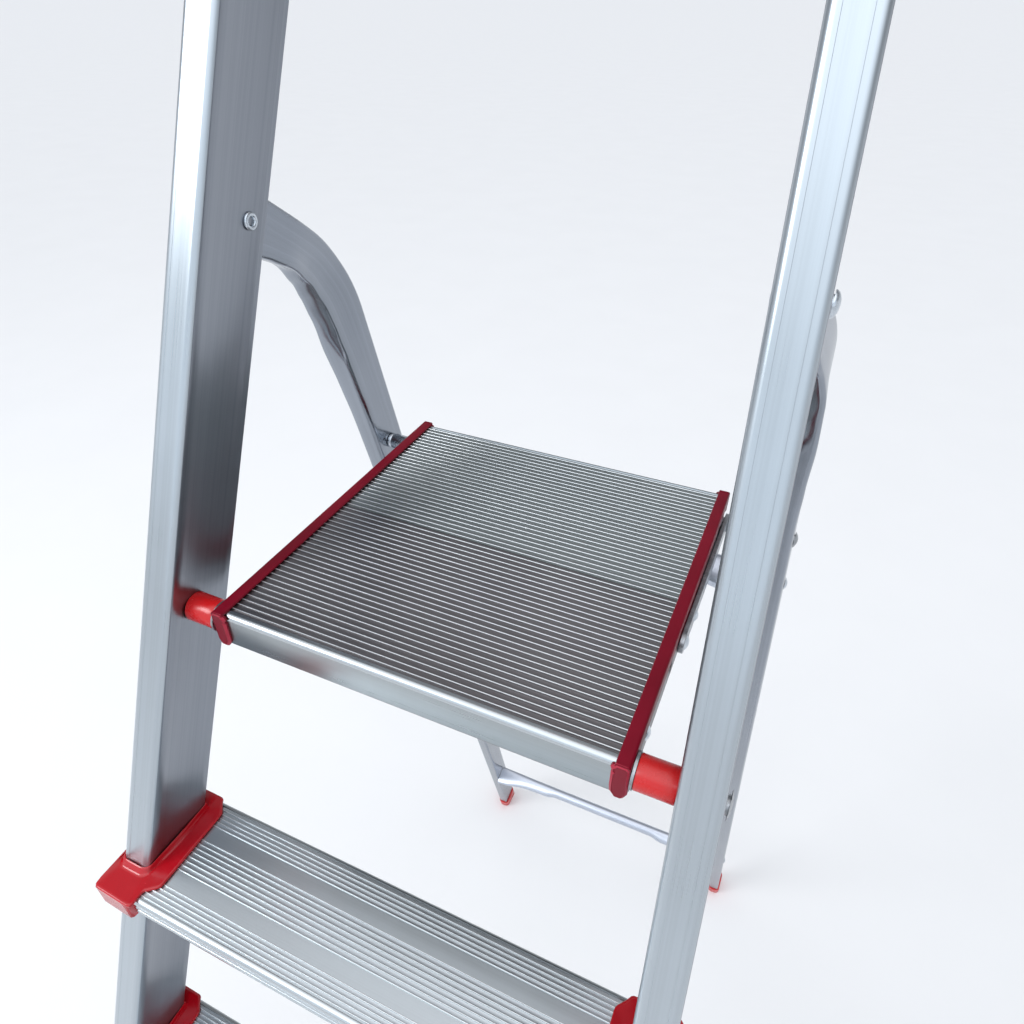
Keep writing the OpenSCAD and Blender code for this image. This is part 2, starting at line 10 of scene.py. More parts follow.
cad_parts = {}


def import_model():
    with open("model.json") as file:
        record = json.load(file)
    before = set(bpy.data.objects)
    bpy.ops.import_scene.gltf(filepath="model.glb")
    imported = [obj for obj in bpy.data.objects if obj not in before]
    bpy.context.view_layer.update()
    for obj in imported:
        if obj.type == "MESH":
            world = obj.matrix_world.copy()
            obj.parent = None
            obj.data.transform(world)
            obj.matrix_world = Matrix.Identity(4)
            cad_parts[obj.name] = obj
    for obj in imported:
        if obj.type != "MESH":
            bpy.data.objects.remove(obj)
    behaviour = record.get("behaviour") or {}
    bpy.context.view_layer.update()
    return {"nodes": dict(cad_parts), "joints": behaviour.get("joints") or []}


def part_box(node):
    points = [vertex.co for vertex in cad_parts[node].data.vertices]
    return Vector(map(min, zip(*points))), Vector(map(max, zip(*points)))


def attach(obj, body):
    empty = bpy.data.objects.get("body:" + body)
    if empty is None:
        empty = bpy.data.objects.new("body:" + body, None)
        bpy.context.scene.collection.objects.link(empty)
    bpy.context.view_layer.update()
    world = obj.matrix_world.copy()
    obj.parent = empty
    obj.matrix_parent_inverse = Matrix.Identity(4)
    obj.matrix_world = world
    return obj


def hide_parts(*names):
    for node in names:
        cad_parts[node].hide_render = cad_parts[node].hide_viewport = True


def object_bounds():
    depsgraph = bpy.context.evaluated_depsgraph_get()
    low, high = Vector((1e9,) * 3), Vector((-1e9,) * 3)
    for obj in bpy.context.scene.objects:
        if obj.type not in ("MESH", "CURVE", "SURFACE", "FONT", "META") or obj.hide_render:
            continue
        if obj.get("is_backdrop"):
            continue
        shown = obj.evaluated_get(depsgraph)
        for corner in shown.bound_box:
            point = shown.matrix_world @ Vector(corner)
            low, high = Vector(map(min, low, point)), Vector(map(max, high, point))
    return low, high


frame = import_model()

# ---- Sizes, in millimetres, in a frame at the platform's front edge and top ----

LEAN = math.radians(22.1)
SLANT = math.radians(19.3)
SPLAY = math.radians(3.28)
STEP_RISE = 181.0
STEP_COUNT = 6
STILE_GAP = 304.0
STILE_W = 22.0
STILE_D = 48.5
STILE_WALL = 1.5
STILE_FACE_Y = -13.0
RAIL_LENGTH = 640.0
TREAD_D = 80.0
TREAD_NOSE = 17.2
PLATFORM_D = 250.0
PLANK_W = 251.6
PLATFORM_HALF = 129.0
FASCIA_H = 24.2
PIVOT_LEG = (105.4, 197.2)
PIVOT_PLATFORM = (6.8, -9.9)
PIVOT_AXLE = (248.1, -23.1)
LEG_W = 17.0
LEG_D = 35.6
LEG_OFFSET = 6.5
BEND_R = 120.0
BEND_ANGLE = math.radians(36.7)
BEND_START = 64.5

MM = 0.001
STILE_END = 8.0
SIDE_PLAY = 0.3
WASHER_T = 1.5
LINK_T = 3.0
LINK_R = 7.0

hinge = {j["name"]: j["pos_m"] for j in frame["joints"]}
SHIFT = hinge["rear_frame_fold"][1] * 1000 - PIVOT_LEG[0]
HEIGHT = hinge["rear_frame_fold"][2] * 1000 - PIVOT_LEG[1]
SIDES = {"left": -1, "right": 1}


def world(x, y, z):
    """A point of the platform's frame, in millimetres, as a point of the part's frame, in metres."""
    return Vector((x / 1000, (y + SHIFT) / 1000, (z + HEIGHT) / 1000))


def stile_inner(y, z):
    """Where a stile's inner face is."""
    up = (y - STILE_FACE_Y) * math.sin(LEAN) + z * math.cos(LEAN)
    return STILE_GAP / 2 - up * math.tan(SPLAY)


def stile_front(z):
    """Where a stile's front face is, at one height."""
    return STILE_FACE_Y + z * math.tan(LEAN)


def along_stile(x, y, z):
    """A point in a stile's own frame: X from its inner face, Y behind its front face, Z along it."""
    px = STILE_GAP / 2 + x * math.cos(SPLAY) - z * math.sin(SPLAY)
    pz = x * math.sin(SPLAY) + z * math.cos(SPLAY)
    return (
        px,
        STILE_FACE_Y + y * math.cos(LEAN) + pz * math.sin(LEAN),
        -y * math.sin(LEAN) + pz * math.cos(LEAN),
    )


# ---- Meshes ----


def smooth(t):
    """Rises softly from 0 to 1."""
    t = min(1.0, max(0.0, t))
    return t * t * (3 - 2 * t)


def squarer(value, power):
    """Moves a circle's sine or cosine towards a rounded square's."""
    return math.copysign(abs(value) ** power, value)


def mirrored(ring, side):
    """A ring drawn for the right side (1), or its mirror image on the left (-1)."""
    return [Vector((v.x * side, v.y, v.z)) for v in ring]


def arc(cx, cy, r, start, end, count):
    """Points on a circle, from one angle to another, in degrees."""
    angles = [math.radians(start + (end - start) * i / count) for i in range(count + 1)]
    return [(cx + r * math.cos(a), cy + r * math.sin(a)) for a in angles]


class Shape:
    """Vertices and faces with UVs in metres and a material number for each face."""

    def __init__(self):
        self.verts = []
        self.faces = []

    def loft(self, rings, caps=True, slots=None, closed_path=False, band=()):
        """Joins rings of points. U runs round a ring and V from ring to ring."""
        base = len(self.verts)
        n = len(rings[0])
        around = [0.0]
        for i in range(n):
            around.append(around[-1] + (rings[0][(i + 1) % n] - rings[0][i]).length)
        along = [0.0]
        path = rings + [rings[0]] if closed_path else rings
        for a, b in zip(path, path[1:]):
            along.append(along[-1] + sum((q - p).length for p, q in zip(a, b)) / n)
        for ring in rings:
            self.verts.extend(ring)
        for k in range(len(path) - 1):
            here, there = base + k * n, base + ((k + 1) % len(rings)) * n
            for i in range(n):
                j = (i + 1) % n
                uv = [
                    (around[i], along[k]),
                    (around[i + 1], along[k]),
                    (around[i + 1], along[k + 1]),
                    (around[i], along[k + 1]),
                ]
                slot = slots[i] if slots else int(k in band)
                self.faces.append(([here + i, here + j, there + j, there + i], uv, slot))
        if caps and not closed_path:
            for start in (base, base + (len(rings) - 1) * n):
                ids = list(range(start, start + n))
                uv = [(self.verts[i].x, self.verts[i].z) for i in ids]
                self.faces.append((ids, uv, 0))

    def bridge(self, a, b, n):
        """A narrow strip between two rings of n points, whose first points are a and b."""
        for i in range(n):
            j = (i + 1) % n
            self.faces.append(([a + i, a + j, b + j, b + i], [(0, 0), (MM, 0), (MM, MM), (0, MM)], 0))

    def tube(self, outer, inner):
        """A wall between an outer and an inner row of rings."""
        n = len(outer[0])
        first = len(self.verts)
        self.loft(outer, caps=False)
        second = len(self.verts)
        self.loft(inner, caps=False)
        for k in (0, len(outer) - 1):
            self.bridge(first + k * n, second + k * n, n)

    def cup(self, outer, hole):
        """A closed outside, whose last ring meets the first ring of a blind hole."""
        n = len(outer[0])
        first = len(self.verts)
        self.loft(outer, caps=False)
        mouth = len(self.verts)
        self.loft(hole, caps=False)
        self.bridge(mouth - n, mouth, n)
        for start in (first, len(self.verts) - n):
            ids = list(range(start, start + n))
            uv = [(self.verts[i].x, self.verts[i].y) for i in ids]
            self.faces.append((ids, uv, 0))


def piece(name, shape, materials, body, nodes=(), bevel=0.0, sharp=38):
    """Makes an object that rides on a body and stands for CAD nodes."""
    bm = bmesh.new()
    verts = [bm.verts.new(v) for v in shape.verts]
    layer = bm.loops.layers.uv.new("uv")
    for ids, uv, number in shape.faces:
        face = bm.faces.new([verts[i] for i in ids])
        face.material_index = number
        face.smooth = True
        for loop, point in zip(face.loops, uv):
            loop[layer].uv = point
    bmesh.ops.recalc_face_normals(bm, faces=bm.faces)
    mesh = bpy.data.meshes.new(name)
    bm.to_mesh(mesh)
    bm.free()
    mesh.set_sharp_from_angle(angle=math.radians(sharp))
    for material in materials:
        mesh.materials.append(material)
    obj = bpy.data.objects.new(name, mesh)
    bpy.context.scene.collection.objects.link(obj)
    if bevel:
        edge = obj.modifiers.new("edges", "BEVEL")
        edge.width = bevel * MM
        edge.segments = 2
        edge.limit_method = "ANGLE"
        edge.angle_limit = math.radians(sharp)
        edge.harden_normals = True
    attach(obj, body)
    if nodes:
        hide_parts(*nodes)
    return obj


def across(outline, half):
    """Rings of an extrusion along X whose outline is drawn in Y and Z."""
    return [[world(x, y, z) for y, z in outline] for x in (-half, half)]


def shifted(outline, y, z):
    """An outline moved by Y and Z."""
    return [(a + y, b + z) for a, b in outline]


def lathe(shape, pivot, side, profile, count=48):
    """A turned piece about an axis along X through a pivot. The profile is (x, radius)."""
    rings = []
    for i in range(count):
        a = 2 * math.pi * i / count
        rings.append([
            world(side * x, pivot[0] + r * math.cos(a), pivot[1] + r * math.sin(a)) for x, r in profile
        ])
    shape.loft(rings, closed_path=True)


# ---- Materials ----


def nodes_of(name):
    """A new material with its node tree and its shader."""
    material = bpy.data.materials.new(name)
    material.use_nodes = True
    tree = material.node_tree
    return material, tree, tree.nodes["Principled BSDF"]


def noise(tree, vector, scale, detail=3.0, roughness=0.55):
    """A noise of about 0.3 to 0.7."""
    node = tree.nodes.new("ShaderNodeTexNoise")
    node.inputs["Scale"].default_value = scale
    node.inputs["Detail"].default_value = detail
    node.inputs["Roughness"].default_value = roughness
    tree.links.new(vector, node.inputs["Vector"])
    return node.outputs["Fac"]


def stretched(tree, vector, scale):
    """Coordinates multiplied by a scale for each axis."""
    node = tree.nodes.new("ShaderNodeMapping")
    node.inputs["Scale"].default_value = scale
    tree.links.new(vector, node.inputs["Vector"])
    return node.outputs["Vector"]


def spread(tree, value, low, high, to_low, to_high):
    """Maps one range of values to another, and holds what is outside it at the ends."""
    node = tree.nodes.new("ShaderNodeMapRange")
    node.inputs["From Min"].default_value = low
    node.inputs["From Max"].default_value = high
    node.inputs["To Min"].default_value = to_low
    node.inputs["To Max"].default_value = to_high
    tree.links.new(value, node.inputs["Value"])
    return node.outputs["Result"]


def combine(tree, operation, a, b):
    """One operation on two numbers or outputs."""
    node = tree.nodes.new("ShaderNodeMath")
    node.operation = operation
    for value, socket in ((a, node.inputs[0]), (b, node.inputs[1])):
        if isinstance(value, (int, float)):
            socket.default_value = value
        else:
            tree.links.new(value, socket)
    return node.outputs[0]


def tint(tree, factor, dark, light):
    """A colour between a dark and a light one."""
    node = tree.nodes.new("ShaderNodeMix")
    node.data_type = "RGBA"
    node.inputs[6].default_value = (*dark, 1)
    node.inputs[7].default_value = (*light, 1)
    tree.links.new(factor, node.inputs[0])
    return node.outputs[2]


def bump(tree, shader, height, strength, distance):
    """Relief in the shader's normal."""
    node = tree.nodes.new("ShaderNodeBump")
    node.inputs["Strength"].default_value = strength
    node.inputs["Distance"].default_value = distance
    tree.links.new(height, node.inputs["Height"])
    tree.links.new(node.outputs["Normal"], shader.inputs["Normal"])


# How often the noises repeat in a metre, round a profile and along it.
DIE_LINES = (700, 0.9, 1)
BROAD_LINES = (130, 0.5, 1)
DASHES = (1300, 30, 1)


def middle(tree, value, to_low, to_high):
    """Spreads the part of a noise that most of its values are in."""
    return spread(tree, value, 0.3, 0.7, to_low, to_high)


def extruded_metal(name, dark, light, rough, wear=0.5, grain=0.1):
    """Aluminium with die lines along its length, faint smudges and short light scratches."""
    material, tree, shader = nodes_of(name)
    coords = tree.nodes.new("ShaderNodeTexCoord")
    where = coords.outputs["UV"]
    lines = noise(tree, stretched(tree, where, DIE_LINES), 1.0, 4.0, 0.6)
    wide = noise(tree, stretched(tree, where, BROAD_LINES), 1.0, 2.0)
    smudge = noise(tree, coords.outputs["Object"], 7.0, 3.0)
    dashes = noise(tree, stretched(tree, where, DASHES), 1.0, 2.0)
    patches = noise(tree, coords.outputs["Object"], 15.0, 2.0)
    scratch = combine(
        tree,
        "MULTIPLY",
        spread(tree, dashes, 0.72, 0.76, 0.0, 1.0),
        spread(tree, patches, 0.55, 0.66, 0.0, wear),
    )
    shade = combine(tree, "ADD", middle(tree, lines, 0.0, 0.4), middle(tree, wide, 0.0, 0.3))
    shade = combine(tree, "ADD", shade, middle(tree, smudge, 0.0, 0.3))
    shade = combine(tree, "ADD", shade, scratch)
    tree.links.new(tint(tree, shade, dark, light), shader.inputs["Base Color"])
    value = combine(
        tree,
        "ADD",
        middle(tree, lines, rough - 0.02, rough + 0.02),
        spread(tree, smudge, 0.35, 0.7, -0.03, 0.05),
    )
    tree.links.new(value, shader.inputs["Roughness"])
    shader.inputs["Metallic"].default_value = 1.0
    bump(tree, shader, combine(tree, "SUBTRACT", lines, scratch), grain, 0.00005)
    return material


def steel(name, dark, light, rough):
    """Zinc-plated steel: slightly mottled and finely scratched."""
    material, tree, shader = nodes_of(name)
    coords = tree.nodes.new("ShaderNodeTexCoord")
    mottle = noise(tree, coords.outputs["Object"], 190.0, 4.0)
    fine = noise(tree, coords.outputs["Object"], 1400.0, 3.0)
    tree.links.new(tint(tree, middle(tree, mottle, 0, 1), dark, light), shader.inputs["Base Color"])
    tree.links.new(middle(tree, fine, rough - 0.06, rough + 0.1), shader.inputs["Roughness"])
    shader.inputs["Metallic"].default_value = 1.0
    bump(tree, shader, fine, 0.12, 0.0001)
    return material


def moulded(name, dark, light, rough, grain, gloss):
    """Moulded plastic with a fine skin, slight colour drift and rubbed patches."""
    material, tree, shader = nodes_of(name)
    coords = tree.nodes.new("ShaderNodeTexCoord")
    skin = noise(tree, coords.outputs["Object"], 2600.0, 2.0)
    drift = noise(tree, coords.outputs["Object"], 24.0, 4.0)
    rub = noise(tree, coords.outputs["Object"], 160.0, 5.0, 0.7)
    shade = combine(tree, "ADD", middle(tree, drift, 0.0, 0.8), spread(tree, rub, 0.62, 0.8, 0.0, 0.5))
    tree.links.new(tint(tree, shade, dark, light), shader.inputs["Base Color"])
    value = combine(
        tree,
        "ADD",
        middle(tree, drift, rough - 0.04, rough + 0.05),
        spread(tree, rub, 0.55, 0.8, 0, 0.14),
    )
    tree.links.new(value, shader.inputs["Roughness"])
    shader.inputs["Specular IOR Level"].default_value = gloss
    bump(tree, shader, skin, grain, 0.00008)
    return material


# Painted light and shade: a stile's sides get a darker copy and its rolled front a lighter copy of one
# aluminium.
stile_shaded_side_metal = extruded_metal("stile_shaded_side_metal", (0.23, 0.25, 0.28), (0.32, 0.34, 0.38), 0.31)
stile_lit_front_metal = extruded_metal("stile_lit_front_metal", (0.42, 0.46, 0.49), (0.50, 0.55, 0.59), 0.30)
# Painted shade: the rear legs get a darker copy of the aluminium.
shaded_leg_metal = extruded_metal("shaded_leg_metal", (0.22, 0.24, 0.27), (0.33, 0.36, 0.41), 0.22, 0.3, 0.04)
tube_metal = extruded_metal("tube_metal", (0.48, 0.51, 0.57), (0.60, 0.64, 0.72), 0.36, 0.3, 0.04)
front_groove = extruded_metal("front_groove", (0.20, 0.19, 0.195), (0.28, 0.27, 0.275), 0.34, 0.2, 0.02)
rear_groove = extruded_metal("rear_groove", (0.25, 0.27, 0.27), (0.34, 0.36, 0.36), 0.34, 0.2, 0.02)
tread_groove = extruded_metal("tread_groove", (0.48, 0.52, 0.54), (0.58, 0.63, 0.66), 0.32, 0.2, 0.03)
# Painted highlight: the ridges' tops get a near-white copy of the aluminium.
ridge_highlight_metal = extruded_metal("ridge_highlight_metal", (0.87, 0.90, 0.91), (0.95, 0.97, 0.98), 0.32, 0.0, 0.0)
fascia_metal = extruded_metal("fascia_metal", (0.34, 0.36, 0.37), (0.42, 0.45, 0.46), 0.30, 0.9, 0.05)
nose_metal = extruded_metal("nose_metal", (0.46, 0.49, 0.51), (0.56, 0.60, 0.62), 0.24, 0.3, 0.0)
zinc_steel = steel("zinc_steel", (0.26, 0.27, 0.28), (0.44, 0.46, 0.48), 0.30)
# Painted shade and a painted reflection of the red edging: the side bars get a darker, slightly warm copy
# of the zinc steel.
shaded_steel = steel("shaded_steel", (0.13, 0.125, 0.125), (0.24, 0.235, 0.24), 0.36)
bright_steel = steel("bright_steel", (0.44, 0.48, 0.52), (0.66, 0.71, 0.76), 0.22)
spacer_red = moulded("spacer_red", (0.46, 0.004, 0.005), (0.58, 0.008, 0.008), 0.27, 0.012, 0.55)
collar_red = moulded("collar_red", (0.36, 0.002, 0.008), (0.48, 0.005, 0.012), 0.19, 0.03, 0.55)
edging_red = moulded("edging_red", (0.15, 0.0008, 0.010), (0.20, 0.0012, 0.014), 0.38, 0.08, 0.22)
# Partly rubbed wear and partly painted highlight: the lighter band round the edging caps' bevelled faces.
worn_and_highlight_red = moulded("worn_and_highlight_red", (0.27, 0.008, 0.026), (0.42, 0.030, 0.055), 0.42, 0.08, 0.3)

# ---- Stiles ----

BAND = 5.6
BAND_STEP = 0.14
STILE_R = 4.2
EDGE_CUT = 0.4
FRONT_DEEP = 2.6
STILE_STATIONS = (-900, -450, 0, 300, RAIL_LENGTH)


def stile_outline():
    """A channel that is open at the back, with a raised band beside each round front corner."""
    r, w, d, t = STILE_R, STILE_W, STILE_D, STILE_WALL
    side = [(0, d - EDGE_CUT), (0, d - 5.5), (0.12, d - 5.8), (0.12, r + 4.8), (0, r + 4.5)]
    outer = side + arc(r, r, r, 180, 270, 12) + [(BAND, 0), (BAND + BAND_STEP, BAND_STEP)]
    outer += [(w - x, y) for x, y in reversed(outer)]
    inner = arc(w - r, r, r - t, 360, 270, 8) + arc(r, r, r - t, 270, 180, 8)
    return outer + [(w - EDGE_CUT, d), (w - t, d)] + inner + [(t, d), (EDGE_CUT, d)]


def stile_slots(outline):
    """The rolled front gets a lighter copy of the metal than the drawn sides: painted light and shade."""
    slots = []
    for (_, y0), (_, y1) in zip(outline, outline[1:] + outline[:1]):
        slots.append(int(max(y0, y1) < FRONT_DEEP))
    return slots


def stile_ring(points, side):
    """Points of a stile's own frame as a ring on one side of the ladder."""
    return mirrored([world(*along_stile(*p)) for p in points], side)


def stile_z_at(x, y, height):
    """How far along the stile a point of its section is at one height above the ground."""
    return (height - HEIGHT + y * math.sin(LEAN)) / math.cos(LEAN) / math.cos(SPLAY) - x * math.tan(SPLAY)


def stile(side):
    """A stile from its level cut in the foot to its square top."""
    outline = stile_outline()
    rings = [stile_ring([(x, y, stile_z_at(x, y, STILE_END)) for x, y in outline], side)]
    for z in STILE_STATIONS:
        rings.append(stile_ring([(x, y, z) for x, y in outline], side))
    shape = Shape()
    shape.loft(rings, slots=stile_slots(outline))
    return shape


for word, side in SIDES.items():
    piece(
        f"{word}_stile_profile", stile(side), [stile_shaded_side_metal, stile_lit_front_metal], "front_frame",
        [f"{word}_stile"], sharp=30,
    )

# ---- Ridged extrusions ----

# Material slots of a plank or a tread. The ridge slot holds the painted highlight on the ridges' tops.
GROOVE, RIDGE, FASCIA, NOSE = range(4)
CLOSE_RIDGES = 6.0
FLOOR_DIP = 0.12


def ridge(c, floor, half=0.50):
    """A grip ridge with a round top."""
    return [
        (c - half, floor),
        (c - half * 0.78, floor * 0.35),
        (c - half * 0.42, floor * 0.07),
        (c, 0.0),
        (c + half * 0.42, floor * 0.07),
        (c + half * 0.78, floor * 0.35),
        (c + half, floor),
    ]


def top_line(centres, floor, half=0.50):
    """The ridges, the slightly hollow floor between them, and the slot of each face from there on."""
    points, slots = [], []
    for i, c in enumerate(centres):
        points += ridge(c, floor, half)
        # The top four faces of each ridge take the painted highlight.
        slots += [GROOVE] + [RIDGE] * 4 + [GROOVE] * 2
        if i + 1 < len(centres) and centres[i + 1] - c < CLOSE_RIDGES:
            points.append(((c + centres[i + 1]) / 2, floor - FLOOR_DIP))
            slots.append(GROOVE)
    return points, slots


def prism(shape, outline, half, slots=None):
    """Adds an extrusion along X, half to each side."""
    shape.loft(across(outline, half), slots=slots)


def web(y, top, bottom, t=1.5):
    """A wall that hangs below a top."""
    return [(y - t / 2, bottom), (y + t / 2, bottom), (y + t / 2, top), (y - t / 2, top)]


def port(y, z, r=3.8, hole=2.05):
    """A screw port: a C-shaped wall, slit at the bottom."""
    return arc(y, z, r, -80, 260, 22) + arc(y, z, hole, 260, -80, 18)


PLANK_SEAM = 0.4
PLANK_FLOOR = -1.0
PLANK_UNDER = -2.5
PLANK_BACK = (PLATFORM_D - PLANK_SEAM) / 2
RIDGE_COUNT = 28
PITCH = (PLANK_BACK - 2.0) / RIDGE_COUNT
FRONT_FIRST_RIDGE = 3.2 + PITCH
REAR_FIRST_RIDGE = 1.4
NOSE_R = 3.4
BACK_R = 1.5
FLANGE = 15.0
WEB_TOP = -2.2
WEB_INSET = 0.3
FRONT_PORTS = (32.7, 82.0)
REAR_PORTS = (162.0, 222.0)


def hang_ports(shape, places):
    """The screw ports beneath a plank, each on its web."""
    for y in places:
        prism(shape, web(y, WEB_TOP, -10.0), PLANK_W / 2 - WEB_INSET)
        prism(shape, port(y, -13.0), PLANK_W / 2 - WEB_INSET)


def front_plank():
    """The plank with the tall fascia and the round nose."""
    shape = Shape()
    centres = [FRONT_FIRST_RIDGE + PITCH * i for i in range(RIDGE_COUNT - 1)]
    line, line_slots = top_line(centres, PLANK_FLOOR)
    nose = arc(NOSE_R, -NOSE_R, NOSE_R, 180, 90, 12) + [(NOSE_R + 1.6, -0.05), (NOSE_R + 2.0, -0.9)]
    top = nose + line + [(PLANK_BACK, PLANK_FLOOR)]
    slots = [NOSE] * (len(nose) - 1) + [GROOVE] + line_slots
    low = -FASCIA_H
    rest = [
        (PLANK_BACK, PLANK_UNDER), (5.2, PLANK_UNDER), (1.7, -4.6), (1.5, low + 1.5), (FLANGE, low + 1.5),
        (FLANGE, low), (0.9, low), (0.25, low + 0.3), (0, low + 1.0),
    ]
    outline = top + rest
    slots += [GROOVE] * (len(outline) - len(slots) - 1) + [FASCIA]
    prism(shape, outline, PLANK_W / 2, slots)
    hang_ports(shape, FRONT_PORTS)
    prism(shape, web(FLANGE - 0.8, WEB_TOP, low + 1.3), PLANK_W / 2 - WEB_INSET)
    prism(shape, web(PLANK_BACK - 0.8, WEB_TOP, -14.0), PLANK_W / 2 - WEB_INSET)
    return shape


def rear_plank():
    """The plank behind the seam, with a lower back wall and a flange that turns forwards."""
    shape = Shape()
    start = PLANK_BACK + PLANK_SEAM
    centres = [REAR_FIRST_RIDGE + PITCH * i for i in range(RIDGE_COUNT)]
    line, line_slots = top_line(centres, PLANK_FLOOR)
    back = PLANK_BACK
    nose = [(back - 2.6, -0.9), (back - 2.2, -0.1)] + arc(back - BACK_R, -BACK_R, BACK_R, 90, 0, 6)
    kept = [p for p in line if p[0] < back - 2.7]
    top = [(0, PLANK_FLOOR)] + kept + nose
    slots = [GROOVE] + line_slots[: len(kept)] + [NOSE] * len(nose)
    rest = [
        (back, -18.0), (back - 0.8, -18.8), (back - 10, -18.8), (back - 10, -17.3),
        (back - 1.5, -17.3), (back - 1.5, PLANK_UNDER), (0, PLANK_UNDER),
    ]
    outline = shifted(top + rest, start, 0)
    slots += [FASCIA] + [GROOVE] * (len(outline) - len(slots) - 1)
    prism(shape, outline, PLANK_W / 2, slots)
    hang_ports(shape, REAR_PORTS)
    prism(shape, web(start + 0.8, WEB_TOP, -14.0), PLANK_W / 2 - WEB_INSET)
    return shape


for word, plank, groove in (("front", front_plank, front_groove), ("rear", rear_plank, rear_groove)):
    piece(
        f"{word}_plank_ridged", plank(), [groove, ridge_highlight_metal, fascia_metal, nose_metal], "platform",
        [f"{word}_plank"],
    )

TREAD_FLOOR = -0.8
TREAD_ENDS = 3.0
TREAD_PORTS = (TREAD_D / 2 - 14, TREAD_D / 2 + 14)


def tread_outline():
    """A tread with a round nose, a bead and a lip in front, and three groups of ridges on top."""
    lip = [
        (1.0, -17.0), (0.2, -16.6), (0.0, -16.0), (0.0, -13.9),
        (0.4, -13.1), (1.0, -12.8), (2.9, -12.7), (2.9, -11.8),
    ]
    bead = arc(2.1, -10.1, 1.9, 245, 115, 8)
    groove = [(3.1, -8.2), (3.1, -6.9)]
    nose = arc(3.6, -3.7, 3.6, 232, 90, 12) + [(4.1, -0.2), (4.3, TREAD_FLOOR)]
    centres = []
    for first, pitch, count in ((5.6, 2.85, 5), (29, 3.22, 8), (63, 2.95, 5)):
        centres += [first + pitch * i for i in range(count)]
    line, line_slots = top_line(centres, TREAD_FLOOR, 0.42)
    back = [(77.0, TREAD_FLOOR), (77.3, -0.25)] + arc(77.5, -2.5, 2.5, 90, 0, 7)
    rest = [
        (80, -16.4), (79.4, -17), (66, -17), (66, -15.4), (78.4, -15.4), (78.4, -2.5), (77.5, -2.4),
        (6.4, -2.4), (4.6, -6.0), (4.4, -15.4), (14, -15.4), (14, -17),
    ]
    head = lip + bead + groove + nose
    outline = head + line + back + rest
    slots = [NOSE] * len(lip + bead) + [GROOVE] * 2 + [NOSE] * (len(nose) - 1) + [GROOVE]
    slots += line_slots + [FASCIA] * (len(back) + 1)
    slots += [GROOVE] * (len(outline) - len(slots))
    return outline, slots


def tread(step):
    """One tread, counted from the ground, as long as the gap between the stiles there."""
    z = -(STEP_COUNT + 1 - step) * STEP_RISE
    y = stile_front(z) - TREAD_NOSE
    half = stile_inner(y + TREAD_D, z) - TREAD_ENDS
    shape = Shape()
    outline, slots = tread_outline()
    prism(shape, shifted(outline, y, z), half, slots)
    for place in TREAD_PORTS:
        prism(shape, web(y + place, z - 2.1, z - 6.0), half - WEB_INSET)
        prism(shape, port(y + place, z - 9.0), half - WEB_INSET)
    return shape


for step in range(1, STEP_COUNT + 1):
    piece(
        f"tread_{step}", tread(step), [tread_groove, ridge_highlight_metal, fascia_metal, nose_metal], "front_frame",
        [f"step_{step}"],
    )

# ---- Collars ----


def cast(outline, centre, angle):
    """How far the outline is from its centre in one direction."""
    dx, dy = math.cos(angle), math.sin(angle)
    best = 0.0
    for (x0, y0), (x1, y1) in zip(outline, outline[1:] + outline[:1]):
        ex, ey = x1 - x0, y1 - y0
        cross = dx * ey - dy * ex
        if abs(cross) < 1e-9:
            continue
        px, py = x0 - centre[0], y0 - centre[1]
        t = (px * ey - py * ex) / cross
        s = (px * dy - py * dx) / cross
        if t > 0 and -1e-6 <= s <= 1 + 1e-6:
            best = max(best, t)
    return best


def softened(values, rounds):
    """Evens out a closed row of numbers, to round the corners that it draws."""
    for _ in range(rounds):
        after = values[1:] + values[:1]
        values = [(values[i - 1] + 2 * values[i] + after[i]) / 4 for i in range(len(values))]
    return values


STILE_DEEP = STILE_D / math.cos(LEAN) * 0.999
COLLAR_OUT = 4.0
COLLAR_BOTTOM = -18.9
COLLAR_POINTS = 160


def collar_outlines():
    """The stile's section, the collar's wall and its flange, as distances from the stile's centre."""
    centre = (STILE_W / 2, STILE_DEEP / 2)
    front = TREAD_NOSE
    r = 5.2
    section = arc(r, r, r, 180, 270, 8) + arc(STILE_W - r, r, r, 270, 360, 8)
    section += [(STILE_W, STILE_DEEP), (0, STILE_DEEP)]
    back = TREAD_D + 2 - front
    out = STILE_W + COLLAR_OUT
    wall = [(out, -3 - front), (out, back - 5), (out - 5, back), (-2.6, back), (-2.6, -4 - front)]
    flange = [
        (out, -3 - front), (out, back - 5), (out - 5, back), (-8.4, back), (-8.4, back - 2),
        (-15.4, back - 10), (-15.4, 14 - front), (-4.8, 5.7 - front), (-7.8, -front), (-7.8, -4 - front),
    ]
    angles = [2 * math.pi * i / COLLAR_POINTS for i in range(COLLAR_POINTS)]
    near = [cast(section, centre, a) for a in angles]
    mid = softened([cast(wall, centre, a) for a in angles], 1)
    far = softened([cast(flange, centre, a) for a in angles], 1)
    return centre, angles, near, mid, [max(f, m + 0.08) for f, m in zip(far, mid)]


def collar_profile(near, wall, far):
    """A cut through the collar, as (upright or leaning with the stile, radius, height)."""
    upright, leaning = True, False
    width = far - near
    profile = [
        (leaning, near + 0.15, COLLAR_BOTTOM),
        (upright, wall - 0.6, COLLAR_BOTTOM),
        (upright, wall, COLLAR_BOTTOM + 0.6),
        (upright, wall, 0.05),
        (upright, far, 0.10),
        (upright, far, 0.9),
        (upright, far - 0.3, 1.6),
        (upright, far - min(0.9, width * 0.2), 1.95),
        (upright, far - min(2.2, width * 0.3), 1.8),
    ]
    lip = (
        (5.0, 0.66, 0.75), (3.6, 0.54, 0.7), (2.6, 0.45, 1.5), (2.0, 0.37, 3.3),
        (1.5, 0.30, 4.2), (1.0, 0.22, 4.5),
    )
    profile += [(leaning, near + min(most, width * share), z) for most, share, z in lip]
    return profile + [(leaning, near + 0.5, 4.3), (leaning, near + 0.15, 3.0)]


